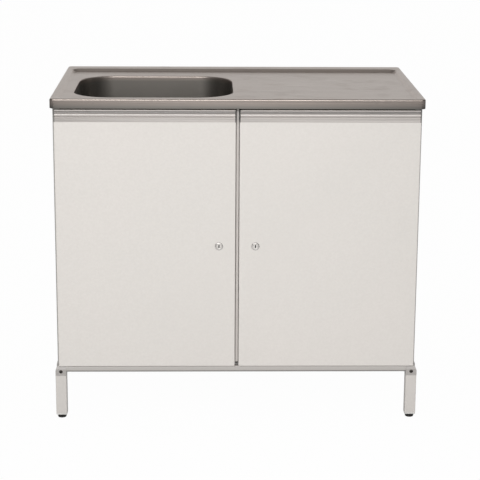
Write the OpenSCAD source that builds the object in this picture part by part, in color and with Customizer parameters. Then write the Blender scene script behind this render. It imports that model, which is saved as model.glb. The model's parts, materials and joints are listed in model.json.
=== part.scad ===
// Sink bench: a pressed stainless worktop with a drawn bowl on a two-door steel cabinet.
// Millimetres, +Z up, front towards -Y. The origin is on the floor under the worktop's middle.

/* [Overall] */
// Width of the worktop
bench_w = 1000; // [960:10:1100]
// Depth of the worktop
bench_d = 600; // [580:5:660]
// Height of the worktop's rim above the floor
bench_h = 900; // [870:5:950]

/* [Worktop] */
// Thickness of the stainless sheet
top_sheet = 1; // [0.8:0.1:1.2]
// Height of the skirt that hangs from the rim
skirt_h = 26; // [24:1:32]
// Width of the hem folded in at the skirt's lower edge
hem_w = 3; // [2:0.5:3.5]
// Radius of the worktop's four corners in plan
top_corner_r = 12; // [10:1:18]
// Radius of the rolled edge between rim and skirt
edge_r = 4; // [3:0.5:6]
// Width of the raised rim at the front and the sides
rim_w = 15; // [13:1:20]
// Width of the raised rim at the back
rim_back_w = 50; // [40:1:60]
// Depth of the draining field below the rim
field_depth = 7; // [5:0.5:9]
// Width of the slope from rim to field
field_slope_w = 10; // [8:1:14]
// Radius of the draining field's corners
field_corner_r = 30; // [20:1:40]

/* [Bowl] */
// Length of the bowl's mouth
bowl_l = 444; // [400:2:450]
// Depth of the bowl's mouth from front to back
bowl_b = 386; // [340:2:390]
// Distance from the left end of the worktop to the bowl's middle
bowl_from_left = 271; // [262:1:280]
// Distance from the front of the worktop to the bowl's middle
bowl_from_front = 260; // [250:1:262]
// Radius of the bowl's corners in plan
bowl_corner_r = 105; // [80:1:120]
// Depth of the bowl below the draining field
bowl_depth = 160; // [140:5:180]
// Radius of the rolled lip
lip_r = 3.5; // [3:0.5:5]
// Width of the welded flange round the mouth
lip_flange_w = 3; // [2.5:0.5:4]
// How far the wall leans in from lip to bottom corner
wall_lean = 8; // [4:1:14]
// Radius between wall and bottom
bowl_bottom_r = 40; // [30:1:55]
// Fall of the bottom towards the waste
bottom_fall = 3; // [1:0.5:6]

/* [Waste] */
// Radius of the hole in the bowl
waste_hole_r = 30; // [28:0.5:34]
// Radius of the waste flange
waste_flange_r = 40; // [38:0.5:44]
// Thickness of the waste flange
waste_flange_t = 2.5; // [2:0.1:3]
// Wall of the plastic waste body
waste_wall = 4; // [3:0.5:5]
// Outside radius of the outlet tail
outlet_r = 20; // [16:0.5:25]
// Straight length of the outlet tail
outlet_l = 50; // [40:1:70]
// Radius of the holes in the strainer
strainer_hole_r = 2.5; // [2:0.1:3]

/* [Cabinet] */
// Sheet thickness of the cabinet
panel_sheet = 1.5; // [1:0.1:2]
// Inside bend radius of the folded sheets
bend_r = 1; // [0.8:0.1:1.5]
// Distance from the worktop's end to the cabinet's side
side_inset = 4.5; // [4:0.5:8]
// Distance from the worktop's front to the cabinet's front frame
front_setback = 35; // [34:1:45]
// Distance from the worktop's back to the cabinet's back
back_setback = 15; // [10:1:25]
// How far the skirt hangs past the cabinet's top
skirt_lap = 2; // [1:0.5:4]
// Width of the flanges on the side panels
flange_w = 20; // [18:1:24]
// Height of the cabinet's underside above the floor
cabinet_bottom = 151; // [140:1:170]
// Height of the bottom pan's floor above the cabinet's underside
pan_rise = 11; // [9:1:16]
// Height of the front top rail
front_rail_h = 37.5; // [34:0.5:45]
// Depth of the front top rail
front_rail_d = 13; // [12:0.5:13]
// Height of the back top rail
back_rail_h = 60; // [50:1:80]
// Depth of the back top rail's upper flange
back_rail_flange = 60; // [55:1:70]
// Width of the centre post
post_w = 50; // [40:1:60]
// Depth of the centre post
post_d = 11; // [9:0.5:12]
// Gap between the post's rib and each door
post_rib_gap = 1.25; // [1:0.25:1.5]
// How far the post's rib stays behind the doors' faces
post_rib_back = 10; // [4:0.5:12]
// Width of the pipe opening in the back panel
pipe_opening_w = 300; // [200:10:360]
// Height of the pipe opening in the back panel
pipe_opening_h = 240; // [160:10:300]
// Height of the pipe opening's middle above the floor
pipe_opening_z = 450; // [400:10:520]
// Corner radius of the pipe opening
pipe_opening_r = 12; // [5:1:14]
// Distance between the two wall fixing holes
wall_hole_gap = 800; // [600:20:860]
// Radius of the wall fixing holes
wall_hole_r = 4; // [3:0.25:5]

/* [Base] */
// Width of the square legs
leg_w = 30; // [28:1:34]
// Wall of the leg tube
leg_wall = 1.5; // [1.2:0.1:2]
// Corner radius of the leg tube
leg_corner_r = 2.5; // [2:0.1:3]
// How far the legs stand back from the worktop's front
leg_setback = 10; // [8:1:14]
// Height of the cast corner pieces
casting_h = 27; // [25:1:30]
// Width of the leg's plug in the casting
plug_w = 20; // [18:0.5:21]
// Height of the leg's plug in the casting
plug_h = 18; // [16:0.5:19]
// Height of the base rails
rail_h = 16; // [14:0.5:17]
// Depth of the base rails
rail_d = 26; // [24:0.5:27]
// Wall of the base rails
rail_wall = 2; // [1.5:0.1:2.5]
// Corner radius of the base rails
rail_corner_r = 3; // [2.75:0.25:5]
// How far the base rails stay behind the legs' faces
rail_inset = 1; // [0:0.5:2]
// Length of the casting's tongue inside a base rail
tongue_l = 25; // [20:1:40]
// Height of the levelling foot's pad
foot_h = 10.5; // [9:0.5:20]
// Radius of the pad where it meets the floor
foot_r = 11.5; // [10:0.25:12]
// Radius of the pad under the leg
foot_top_r = 13.3; // [12:0.1:13.4]
// Radius of the levelling foot's stud
stud_r = 5; // [4:0.25:6]
// Length of the levelling foot's stud
stud_l = 45; // [42:1:60]
// Height of the threaded insert in the leg
insert_h = 22; // [20:1:24]
// Height of the insert's collar between leg and foot
collar_h = 4; // [2:0.5:5]

/* [Doors] */
// Thickness of the doors
door_t = 20; // [18:0.5:22]
// Sheet thickness of the doors
door_sheet = 1; // [0.8:0.1:1.2]
// Gap between door and front frame
door_back_gap = 5; // [4:0.5:6]
// Gap between the two doors
door_gap = 10.5; // [8:0.5:14]
// Distance from the cabinet's side to the door's edge
door_reveal = 5.5; // [4:0.5:8]
// Gap between the skirt and the doors
top_gap = 4; // [3.5:0.5:6]
// Gap between the corner castings and the doors
bottom_gap = 1.5; // [1.5:0.5:6]
// Width of the lips folded in at the door's back
door_lip = 12; // [10:1:16]
// Depth of the field pressed into the door liner
liner_press = 3; // [2:0.5:4]
// Width of the flat border round the liner's field
liner_border = 20; // [16:1:21]
// Width of the stiffener's crown
stiffener_crown = 40; // [30:1:60]
// Height of the grip profile
grip_h = 34; // [32:0.5:40]
// Wall of the grip profile
grip_wall = 1.5; // [1.2:0.1:2]
// Depth of the finger groove in the grip profile
groove_depth = 3.5; // [2:0.1:3.7]
// Thickness of the grip profile's end caps
cap_t = 2; // [1.5:0.5:3]

/* [Hinges] */
// Distance from the door's edge to its pivot
pivot_in = 9; // [8.5:0.5:10]
// Distance from the door's back to its pivot
pivot_back = 9; // [8:0.5:10]
// Radius of the hinge pins
pin_r = 4; // [3:0.25:4]
// Radius of the hinge bushes
bush_r = 5.5; // [5:0.25:5.5]
// Thickness of the top hinge plates
hinge_plate_t = 2.5; // [2:0.5:4]
// How far a pin reaches into its bush
pin_reach = 18; // [14:1:22]

/* [Locks] */
// Distance from the bench's middle to each lock
lock_x = 49.5; // [45:0.5:60]
// Height of the locks above the floor
lock_z = 494.5; // [450:0.5:560]
// Radius of the lock's threaded body
lock_r = 9; // [8:0.25:10]
// Radius of the lock's face
lock_face_r = 10.5; // [10.2:0.1:13]
// How far the lock's face stands proud of the door
lock_face_t = 2; // [1:0.25:3]
// Radius of the turning plug
plug_r = 6; // [5:0.25:6.5]
// Length of the cam from its axis to its tip
cam_l = 38; // [30:0.5:42]
// Width of the cam
cam_w = 14; // [13:0.5:18]
// Thickness of the cam
cam_t = 2; // [1.5:0.25:3]

/* [Fasteners] */
// Radius of the leg bolts
bolt_r = 3; // [2.5:0.25:3]
// Radius of the leg bolts' heads
bolt_head_r = 4.75; // [4.25:0.25:6]
// Radius of the sheet and wood screws
screw_r = 2.25; // [2:0.05:2.5]
// Radius of the screws' heads
screw_head_r = 4.25; // [4:0.25:4.75]

/* [Clearances] */
// Radial clearance of a pin or stud that turns
running = 0.05; // [0.02:0.01:0.1]
// Clearance round a part that is fitted by hand
fitted = 0.2; // [0.1:0.05:0.3]

/* [Hidden] */
$fn = 48;
eps = 0.01;
arc_steps = 5;

// Colours of the finishes
STEEL = [0.67, 0.66, 0.63];
PAINT = [0.86, 0.84, 0.82];
PAINT_GREY = [0.72, 0.70, 0.68];
ALUMINIUM = [0.74, 0.73, 0.71];
ZINC = [0.62, 0.62, 0.60];
BLACK = [0.08, 0.08, 0.08];
WOOD = [0.78, 0.65, 0.47];
NYLON = [0.92, 0.92, 0.90];

// Places on the worktop
half_w = bench_w / 2;
half_d = bench_d / 2;
field_z = bench_h - field_depth;
field_under = field_z - top_sheet;
field_w = bench_w - 2 * rim_w;
field_d = bench_d - rim_w - rim_back_w;
field_y = (rim_w - rim_back_w) / 2;
skirt_bottom = bench_h - skirt_h;

// Places of the bowl and its waste
bowl_x = bowl_from_left - half_w;
bowl_y = bowl_from_front - half_d;
bowl_floor = field_z - bowl_depth;
bowl_corner_steps = 12;
bowl_side_steps = [5, 3];
bowl_steps = 4 * bowl_corner_steps + 2 * (bowl_side_steps[0] + bowl_side_steps[1]);
dish_r = waste_flange_r + 2;
dish_z = bowl_floor - bottom_fall - waste_flange_t;
seal_t = 3;
seal_top = dish_z - top_sheet;
body_top = seal_top - seal_t;
collar_r = waste_hole_r - 0.5;
strainer_t = 2;
tail_top = body_top - 36;
outlet_end = tail_top - outlet_l;

// Places of the cabinet
cab_x = half_w - side_inset;
cab_front = front_setback - half_d;
cab_back = half_d - back_setback;
cab_top = skirt_bottom + skirt_lap;
flange_x = cab_x - flange_w;
pan_z = cabinet_bottom + pan_rise;
front_rail_bottom = cab_top - front_rail_h;
post_back = cab_front + post_d;

// Places of the battens under the worktop
batten_h = field_under - cab_top;
front_batten_front = cab_front - 20;
front_batten_back = cab_front + 20;
back_batten_front = cab_back - back_rail_flange - 35;
back_batten_back = cab_back - back_rail_flange + 12;
batten_end = cab_x - flange_w - 15;
worktop_screw_x = batten_end - 30;
front_screw_y = cab_front + panel_sheet + bend_r + screw_head_r + 0.25;

// Places of the base
leg_x = half_w - leg_w / 2;
leg_y = half_d - leg_setback - leg_w / 2;
casting_bottom = cabinet_bottom - casting_h;
rail_bottom = cabinet_bottom - rail_h;
rail_x = leg_x + leg_w / 2 - rail_inset - rail_d / 2;
rail_y = leg_y + leg_w / 2 - rail_inset - rail_d / 2;
bolt_z = casting_bottom + 12;
casting_chamfer_x = side_inset;
base_screw_gap = (leg_y - leg_w / 2) / 2 - 10;
casting_chamfer_z = 13;
casting_slope_y = 3.8;
casting_slope_z = 8;

// Places of the doors
door_front = cab_front - door_back_gap - door_t;
door_back = cab_front - door_back_gap;
door_outer = cab_x - door_reveal;
door_inner = door_gap / 2;
door_w = door_outer - door_inner;
door_bottom = cabinet_bottom + bottom_gap;
door_top = skirt_bottom - top_gap;
skin_top = door_top - grip_h;
grip_leg = 10;
liner_front = door_back - 2 * door_sheet;
stiffener_x = (door_outer + door_inner) / 2;

// Places of the hinges and locks
pivot_x = door_outer - pivot_in;
pivot_y = door_back - pivot_back;
bush_flange_r = bush_r + 1.5;
bush_l = 16;
top_bush_flange = 1.2;
lower_pin_seat = 8;
hinge_plate_back = cab_front + 40;
lock_nut_back = liner_front + door_sheet - liner_press + 5;
lock_body_back = lock_nut_back + 4;
cam_front = post_back + 2;
cam_back = cam_front + cam_t;

// Points of an arc about c, from angle a to angle b
function arc(c, r, a, b, n = arc_steps) =
    [for (i = [0:n]) let (t = a + (b - a) * i / n) c + r * [cos(t), sin(t)]];

// Corners of a rectangle from lo to hi, rounded by r
function rounded(lo, hi, r, n = arc_steps) = concat(
    arc([hi.x - r, hi.y - r], r, 0, 90, n),
    arc([lo.x + r, hi.y - r], r, 90, 180, n),
    arc([lo.x + r, lo.y + r], r, 180, 270, n),
    arc([hi.x - r, lo.y + r], r, 270, 360, n)
);

function unit(v) = v / norm(v);
function left_of(v) = [-v.y, v.x];

// Point and left-hand normal at every stop of a folded sheet's middle line
function fold_line(p, r) = let (last = len(p) - 1) concat(
    [[p[0], left_of(unit(p[1] - p[0]))]],
    [for (i = [1:1:last - 1]) each fold_bend(p[i - 1], p[i], p[i + 1], r)],
    [[p[last], left_of(unit(p[last] - p[last - 1]))]]
);

// The bend at b between a and c, with a middle line of radius r
function fold_bend(a, b, c, r) =
    let (u = unit(a - b))
    let (v = unit(c - b))
    let (half = acos(u * v) / 2)
    let (centre = b + unit(u + v) * r / sin(half))
    let (side = cross([b.x - a.x, b.y - a.y], [c.x - b.x, c.y - b.y]) > 0 ? 1 : -1)
    let (from = b + u * r / tan(half) - centre)
    let (sweep = side * (180 - 2 * half))
    [for (i = [0:arc_steps])
        let (t = sweep * i / arc_steps)
        let (d = [from.x * cos(t) - from.y * sin(t), from.x * sin(t) + from.y * cos(t)])
        [centre + d, -side * unit(d)]];

// Outline of a sheet of thickness t folded along the line p
function folded(p, t) =
    let (line = fold_line(p, bend_r + t / 2))
    let (n = len(line))
    concat(
        [for (i = [0:n - 1]) line[i][0] + line[i][1] * t / 2],
        [for (i = [n - 1:-1:0]) line[i][0] - line[i][1] * t / 2]
    );

// A profile in X and Z drawn along Y
module along_y(from, to) {
    translate([0, to, 0]) rotate([90, 0, 0]) linear_extrude(to - from) children();
}

// A profile in Y and Z drawn along X
module along_x(from, to) {
    translate([from, 0, 0]) rotate([90, 0, 90]) linear_extrude(to - from) children();
}

// A profile of [outward, up] led round a rectangle of w by d whose corners turn about radius r
module around(w, d, r) {
    cx = w / 2 - r;
    cy = d / 2 - r;
    for (s = [0, 180]) {
        rotate([0, 0, s]) translate([cx, 0, 0]) along_y(-cy, cy) children();
        rotate([0, 0, s + 90]) translate([cy, 0, 0]) along_y(-cx, cx) children();
    }
    for (i = [0:3]) {
        translate([(i == 0 || i == 3 ? 1 : -1) * cx, (i < 2 ? 1 : -1) * cy, 0])
            rotate([0, 0, 90 * i]) rotate_extrude(angle = 90) children();
    }
}

// Section of a pressed slope of height h: flat to the corner's centre on the low side
module slope_section(r, slope_w, h, t) {
    steps = 8;
    curve = [for (i = [0:steps]) [r - slope_w * i / steps, -h * (1 - cos(180 * i / steps)) / 2]];
    polygon(concat(
        curve,
        [[0, -h], [0, -h - t]],
        [for (i = [steps:-1:0]) curve[i] - [0, t]]
    ));
}

// A field of w by d pressed h deep into a sheet whose upper face is at z = 0
module pressed_field(w, d, r, slope_w, h, t) {
    around(w, d, r) slope_section(r, slope_w, h, t);
    translate([r - w / 2, r - d / 2, -h - t]) cube([w - 2 * r, d - 2 * r, t]);
}

// A flat sheet with rounded corners, standing on z = 0
module rounded_plate(w, d, r, t) {
    translate([r - w / 2, -d / 2, 0]) cube([w - 2 * r, d, t]);
    translate([-w / 2, r - d / 2, 0]) cube([w, d - 2 * r, t]);
    for (x = [r - w / 2, w / 2 - r], y = [r - d / 2, d / 2 - r]) {
        translate([x, y, 0]) cylinder(r = r, h = t);
    }
}

module mirrored_x(side) {
    mirror([side < 0 ? 1 : 0, 0, 0]) children();
}

// Worktop

// Rim, rolled edge, skirt and hem, with x outward from the corner's centre
module skirt_section() {
    t = top_sheet;
    r = top_corner_r;
    polygon(concat(
        [[0, 0]],
        arc([r - edge_r, -edge_r], edge_r, 90, 0),
        [[r, -skirt_h], [r - hem_w, -skirt_h], [r - hem_w, t - skirt_h], [r - t, t - skirt_h]],
        arc([r - edge_r, -edge_r], edge_r - t, 0, 90),
        [[0, -t]]
    ));
}

module worktop() {
    color(STEEL) {
        translate([0, 0, bench_h]) around(bench_w, bench_d, top_corner_r) skirt_section();
        translate([0, 0, bench_h - top_sheet]) difference() {
            translate([top_corner_r - half_w, top_corner_r - half_d, 0])
                cube([bench_w - 2 * top_corner_r, bench_d - 2 * top_corner_r, top_sheet]);
            translate([0, field_y, -1])
                rounded_plate(field_w, field_d, field_corner_r, top_sheet + 2);
        }
        difference() {
            translate([0, field_y, bench_h])
                pressed_field(field_w, field_d, field_corner_r, field_slope_w, field_depth, top_sheet);
            translate([0, 0, field_under - 1]) linear_extrude(top_sheet + 2)
                polygon(bowl_ring(-lip_flange_w));
        }
    }
}

// Outline of the bowl, inset by s from its mouth
function bowl_ring(s) =
    let (n = bowl_corner_steps + 1)
    let (corners = rounded(
        [bowl_x - bowl_l / 2 + s, bowl_y - bowl_b / 2 + s],
        [bowl_x + bowl_l / 2 - s, bowl_y + bowl_b / 2 - s],
        bowl_corner_r - s, bowl_corner_steps))
    [for (k = [0:3]) each concat(
        [for (i = [0:n - 1]) corners[k * n + i]],
        side_points(corners[k * n + n - 1], corners[(k + 1) % 4 * n], bowl_side_steps[k % 2])
    )];

// Points between a and b that divide the way into n steps
function side_points(a, b, n) = [for (i = [1:1:n - 1]) a + (b - a) * i / n];

function waste_ring(r) = [for (i = [0:bowl_steps - 1])
    let (a = atan2(bowl_ring(0)[i].y - bowl_y, bowl_ring(0)[i].x - bowl_x))
    [bowl_x + r * cos(a), bowl_y + r * sin(a)]];

// Inset and height down the bowl's inside, with the outward normal: lip, wall and bottom corner
lean_angle = atan(wall_lean / (bowl_depth - lip_r - bowl_bottom_r));
corner_centre = [
    lip_r + wall_lean + bowl_bottom_r * cos(lean_angle),
    bowl_floor + bowl_bottom_r
];
bowl_line = concat(
    [[[-lip_flange_w, field_z], [0, 1]]],
    [for (a = [90, 70, 50, 30, 15, lean_angle])
        [[0, field_z - lip_r] + lip_r * [cos(a), sin(a)], [cos(a), sin(a)]]],
    [for (a = [180 + lean_angle, 195, 210, 225, 240, 255, 270])
        [corner_centre + bowl_bottom_r * [cos(a), sin(a)], [-cos(a), -sin(a)]]]
);

function at_height(ring, z) = [for (p = ring) [p.x, p.y, z]];

// Rings of the inside from lip to waste dish, then of the outside back up
inner_rings = concat(
    [for (k = bowl_line) at_height(bowl_ring(k[0].x), k[0].y)],
    [
        at_height(waste_ring(dish_r + 4), bowl_floor - bottom_fall),
        at_height(waste_ring(dish_r), dish_z)
    ]
);
outer_rings = concat(
    [for (k = bowl_line) let (q = k[0] - top_sheet * k[1]) at_height(bowl_ring(q.x), q.y)],
    [
        at_height(waste_ring(dish_r + 4 + top_sheet), bowl_floor - bottom_fall - top_sheet),
        at_height(waste_ring(dish_r + top_sheet), dish_z - top_sheet)
    ]
);

module sink_bowl() {
    rings = concat(inner_rings, [for (i = [len(outer_rings) - 1:-1:0]) outer_rings[i]]);
    n = bowl_steps;
    bands = len(rings);
    bottom = len(inner_rings) - 1;
    faces = concat(
        [for (k = [0:bands - 1], i = [0:n - 1]) if (k != bottom) each [
            [k * n + i, (k + 1) % bands * n + i, k * n + (i + 1) % n],
            [k * n + (i + 1) % n, (k + 1) % bands * n + i, (k + 1) % bands * n + (i + 1) % n]
        ]],
        [[for (i = [0:n - 1]) bottom * n + i]],
        [[for (i = [n - 1:-1:0]) (bottom + 1) * n + i]]
    );
    color(STEEL) difference() {
        polyhedron(points = [for (r = rings) each r], faces = faces);
        translate([bowl_x, bowl_y, dish_z - top_sheet - 1]) cylinder(r = waste_hole_r, h = top_sheet + 2);
    }
}

// Two wooden battens carry the worktop on the cabinet's top rails; the bowl's mouth is kept clear of them
module worktop_battens() {
    color(WOOD) difference() {
        union() {
            translate([-batten_end, front_batten_front, cab_top])
                cube([2 * batten_end, front_batten_back - front_batten_front, batten_h]);
            translate([-batten_end, back_batten_front, cab_top])
                cube([2 * batten_end, back_batten_back - back_batten_front, batten_h]);
        }
        worktop_screw_places() translate([0, 0, -1]) cylinder(r = screw_r + running, h = batten_h - 2);
        translate([0, 0, cab_top - 1]) linear_extrude(batten_h + 2) polygon(bowl_ring(-lip_flange_w - 2));
    }
}

// Both rows of screws that draw the battens down
module worktop_screw_places() {
    for (x = [-worktop_screw_x, 0, worktop_screw_x]) {
        translate([x, front_screw_y, cab_top]) children();
        translate([x, back_batten_back - screw_head_r - 1, cab_top]) children();
    }
}

module worktop_screws() {
    color(ZINC) worktop_screw_places() mirror([0, 0, 1]) {
        translate([0, 0, -batten_h + 5]) cylinder(r = screw_r, h = batten_h - 5 + panel_sheet + eps);
        translate([0, 0, panel_sheet]) screw_head();
    }
}

// A low pan head with a cross recess, seated on z = 0
module screw_head() {
    head_h = 2.4;
    difference() {
        rotate_extrude() polygon(concat(
            [[0, 0], [screw_head_r, 0]],
            arc([screw_head_r - 1.2, head_h - 1.2], 1.2, 0, 90),
            [[0, head_h]]
        ));
        for (a = [0, 90]) {
            rotate([0, 0, a]) translate([-2, -0.5, head_h - 1.2]) cube([4, 1, 2]);
        }
    }
}

// Hat sections glued under the draining side
module drainer_stiffeners() {
    crown = 36;
    foot = 40;
    edge = 80;
    t = panel_sheet;
    top = field_under - t / 2;
    low = top - 15 + t;
    color(ZINC) for (x = [field_w / 6, field_w / 3]) {
        translate([x, 0, 0]) along_y(front_batten_back + fitted, back_batten_front - fitted)
            polygon(folded([
                [-edge / 2, top], [-foot / 2, top], [-crown / 2, low],
                [crown / 2, low], [foot / 2, top], [edge / 2, top]
            ], t));
    }
}

// Waste

module waste_flange() {
    t = waste_flange_t;
    strainer_z = dish_z - 1;
    collar_wall = 2.5;
    collar_end = body_top - 8;
    color(STEEL) translate([bowl_x, bowl_y, 0]) difference() {
        union() {
            rotate_extrude() polygon([
                [collar_r - collar_wall, dish_z + t - 1.2], [collar_r - 0.5, dish_z + t],
                [waste_flange_r - 1, dish_z + t], [waste_flange_r, dish_z + t - 1],
                [waste_flange_r, dish_z], [collar_r, dish_z],
                [collar_r, collar_end], [collar_r - collar_wall, collar_end]
            ]);
            translate([0, 0, strainer_z]) cylinder(r = collar_r - 1, h = strainer_t);
        }
        for (ring = [[6, 10.5], [12, 18], [16, 23.5]], i = [0:ring[0] - 1]) {
            rotate([0, 0, 360 * i / ring[0]]) translate([ring[1], 0, strainer_z - 1])
                cylinder(r = strainer_hole_r, h = strainer_t + 2, $fn = 24);
        }
        translate([0, 0, strainer_z - 1]) cylinder(r = bolt_r + fitted, h = strainer_t + 2);
    }
}

module waste_seal() {
    color(BLACK) translate([bowl_x, bowl_y, body_top]) difference() {
        cylinder(r = waste_flange_r, h = seal_t);
        translate([0, 0, -1]) cylinder(r = waste_hole_r, h = seal_t + 2);
    }
}

// A cup that drops to the outlet tail, with a bridge for the clamping screw
module waste_body() {
    cup_r = waste_hole_r;
    bore_r = outlet_r - waste_wall / 2;
    wall = waste_wall;
    bridge_w = 3;
    color(NYLON) translate([bowl_x, bowl_y, 0]) {
        rotate_extrude() polygon([
            [cup_r, body_top], [waste_flange_r, body_top], [waste_flange_r, body_top - 4],
            [cup_r + wall, body_top - 4], [cup_r + wall, body_top - 20], [outlet_r, tail_top],
            [outlet_r, outlet_end], [bore_r, outlet_end], [bore_r, tail_top + 2],
            [cup_r, body_top - 18]
        ]);
        difference() {
            union() {
                for (a = [0, 90]) {
                    rotate([0, 0, a]) translate([-cup_r - 1, -bridge_w / 2, body_top - 17])
                        cube([2 * cup_r + 2, bridge_w, 7]);
                }
                translate([0, 0, body_top - 20]) cylinder(r = 7, h = 10);
            }
            translate([0, 0, body_top - 21]) cylinder(r = bolt_r + running, h = 12);
        }
    }
}

module waste_screw() {
    seat = dish_z - 1 + strainer_t;
    color(STEEL) translate([bowl_x, bowl_y, 0]) difference() {
        union() {
            translate([0, 0, body_top - 19]) cylinder(r = bolt_r, h = seat - body_top + 19 + eps);
            translate([0, 0, seat]) cylinder(r1 = 6.5, r2 = 5.5, h = 2);
        }
        translate([-5, -0.7, seat + 1]) cube([10, 1.4, 2]);
    }
}

// Cabinet

// Side panel on +X, mirrored for the other side
module side_panel(side) {
    t = panel_sheet;
    h = cab_top - cabinet_bottom;
    mirrored_x(side) color(PAINT_GREY) difference() {
        union() {
            translate([0, 0, cabinet_bottom]) linear_extrude(h) polygon(folded([
                [flange_x, cab_front + t / 2], [cab_x - t / 2, cab_front + t / 2],
                [cab_x - t / 2, cab_back - t / 2], [flange_x, cab_back - t / 2]
            ], t));
            for (z = [cabinet_bottom, cab_top - t]) {
                translate([flange_x, cab_front + t / 2, z])
                    cube([flange_w - t / 2, cab_back - cab_front - t, t]);
            }
        }
        base_screw_places() translate([0, 0, -1]) cylinder(r = screw_r + running, h = t + 2);
        plate_screw_places() translate([0, 0, -t - 1]) cylinder(r = screw_r + running, h = t + 2);
    }
}

// Screws that hold a side panel's lower flange on its base rail
module base_screw_places() {
    for (i = [-1.5:1.5]) {
        translate([flange_x + flange_w / 2 - 2, i * base_screw_gap, cabinet_bottom]) children();
    }
}

// Screws that hold a top hinge plate on its side panel's upper flange
module plate_screw_places() {
    for (y = [cab_front + 12, hinge_plate_back - 8]) {
        translate([flange_x + flange_w / 2, y, cab_top]) children();
    }
}

module back_panel() {
    t = door_sheet;
    edge = cab_x - panel_sheet - bend_r - fitted;
    back = cab_back - panel_sheet;
    color(PAINT_GREY) difference() {
        translate([-edge, back - t, cabinet_bottom + panel_sheet])
            cube([2 * edge, t, cab_top - cabinet_bottom - 2 * panel_sheet]);
        along_y(back - t - 1, back + 1) polygon(rounded(
            [bowl_x - pipe_opening_w / 2, pipe_opening_z - pipe_opening_h / 2],
            [bowl_x + pipe_opening_w / 2, pipe_opening_z + pipe_opening_h / 2], pipe_opening_r));
        wall_hole_places() cylinder(r = wall_hole_r, h = 3 * t, center = true);
    }
}

module wall_hole_places() {
    for (x = [-wall_hole_gap / 2, wall_hole_gap / 2]) {
        translate([x, cab_back - panel_sheet - door_sheet / 2, cab_top - back_rail_h / 2])
            rotate([90, 0, 0]) children();
    }
}

// The cabinet's floor: a tray on the side panels' lower flanges with a front apron
module bottom_pan() {
    t = panel_sheet;
    edge = cab_x - t - bend_r - fitted - t / 2;
    low = cabinet_bottom + t;
    color(PAINT_GREY) {
        along_y(cab_front + t, cab_back - t - door_sheet - fitted) polygon(folded([
            [-edge, low], [-edge, pan_z - t / 2], [edge, pan_z - t / 2], [edge, low]
        ], t));
        translate([fitted - flange_x, cab_front, cabinet_bottom])
            cube([2 * (flange_x - fitted), t, pan_z - cabinet_bottom]);
    }
}

// A folded post; its rib fills the gap between the doors and runs on up over the top rail's face
module centre_post() {
    t = panel_sheet;
    x = post_w / 2 - t / 2;
    rib_x = door_gap / 2 - post_rib_gap - t / 2;
    rib_y = door_front + post_rib_back + t / 2;
    rib_end = cab_front - fitted;
    lap = 1;
    color(PAINT) {
        translate([0, 0, pan_z]) linear_extrude(front_rail_bottom - pan_z) polygon(folded([
            [-x, post_back], [-x, cab_front + t / 2], [-rib_x, cab_front + t / 2], [-rib_x, rib_y],
            [rib_x, rib_y], [rib_x, cab_front + t / 2], [x, cab_front + t / 2], [x, post_back]
        ], t));
        translate([0, 0, front_rail_bottom - lap]) linear_extrude(door_top - front_rail_bottom + lap)
            polygon(folded([[-rib_x, rib_end], [-rib_x, rib_y], [rib_x, rib_y], [rib_x, rib_end]], t));
    }
}

module front_top_rail() {
    t = panel_sheet;
    y = cab_front + t / 2;
    color(PAINT_GREY) difference() {
        along_x(-flange_x, flange_x) polygon(folded([
            [cab_front + front_rail_d, cab_top - t / 2], [y, cab_top - t / 2],
            [y, front_rail_bottom + t / 2], [cab_front + front_rail_d, front_rail_bottom + t / 2],
            [cab_front + front_rail_d, front_rail_bottom + 9]
        ], t));
        worktop_screw_places() translate([0, 0, -t - 1]) cylinder(r = screw_r + running, h = t + 2);
    }
}

module back_top_rail() {
    t = panel_sheet;
    y = cab_back - panel_sheet - door_sheet - t / 2;
    color(PAINT_GREY) difference() {
        along_x(-flange_x, flange_x) polygon(folded([
            [cab_back - back_rail_flange, cab_top - t / 2], [y, cab_top - t / 2],
            [y, cab_top - back_rail_h + t / 2], [y - 18, cab_top - back_rail_h + t / 2]
        ], t));
        worktop_screw_places() translate([0, 0, -t - 1]) cylinder(r = screw_r + running, h = t + 2);
        wall_hole_places() cylinder(r = wall_hole_r, h = 8, center = true);
    }
}

// Base

// Section of a base rail, centred across and standing on 0
module rail_section() {
    difference() {
        polygon(rounded([-rail_d / 2, 0], [rail_d / 2, rail_h], rail_corner_r));
        polygon(rounded([-rail_d / 2 + rail_wall, rail_wall], [rail_d / 2 - rail_wall, rail_h - rail_wall],
            rail_corner_r - rail_wall));
    }
}

module base_rail(y) {
    end = leg_x - leg_w / 2;
    color(PAINT_GREY) translate([0, y, rail_bottom]) along_x(-end, end) rail_section();
}

module base_side_rails() {
    end = leg_y - leg_w / 2;
    color(PAINT_GREY) for (s = [-1, 1]) {
        mirrored_x(s) difference() {
            translate([rail_x, 0, rail_bottom]) along_y(-end, end) rail_section();
            base_screw_places() translate([0, 0, -rail_wall - 1])
                cylinder(r = screw_r + running, h = rail_wall + 2);
        }
    }
}

// Section of the tongue that fills a base rail's hollow
module tongue_section() {
    gap = rail_wall + fitted;
    polygon(rounded([gap - rail_d / 2, rail_bottom + gap], [rail_d / 2 - gap, cabinet_bottom - gap],
        rail_corner_r - rail_wall));
}

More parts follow.
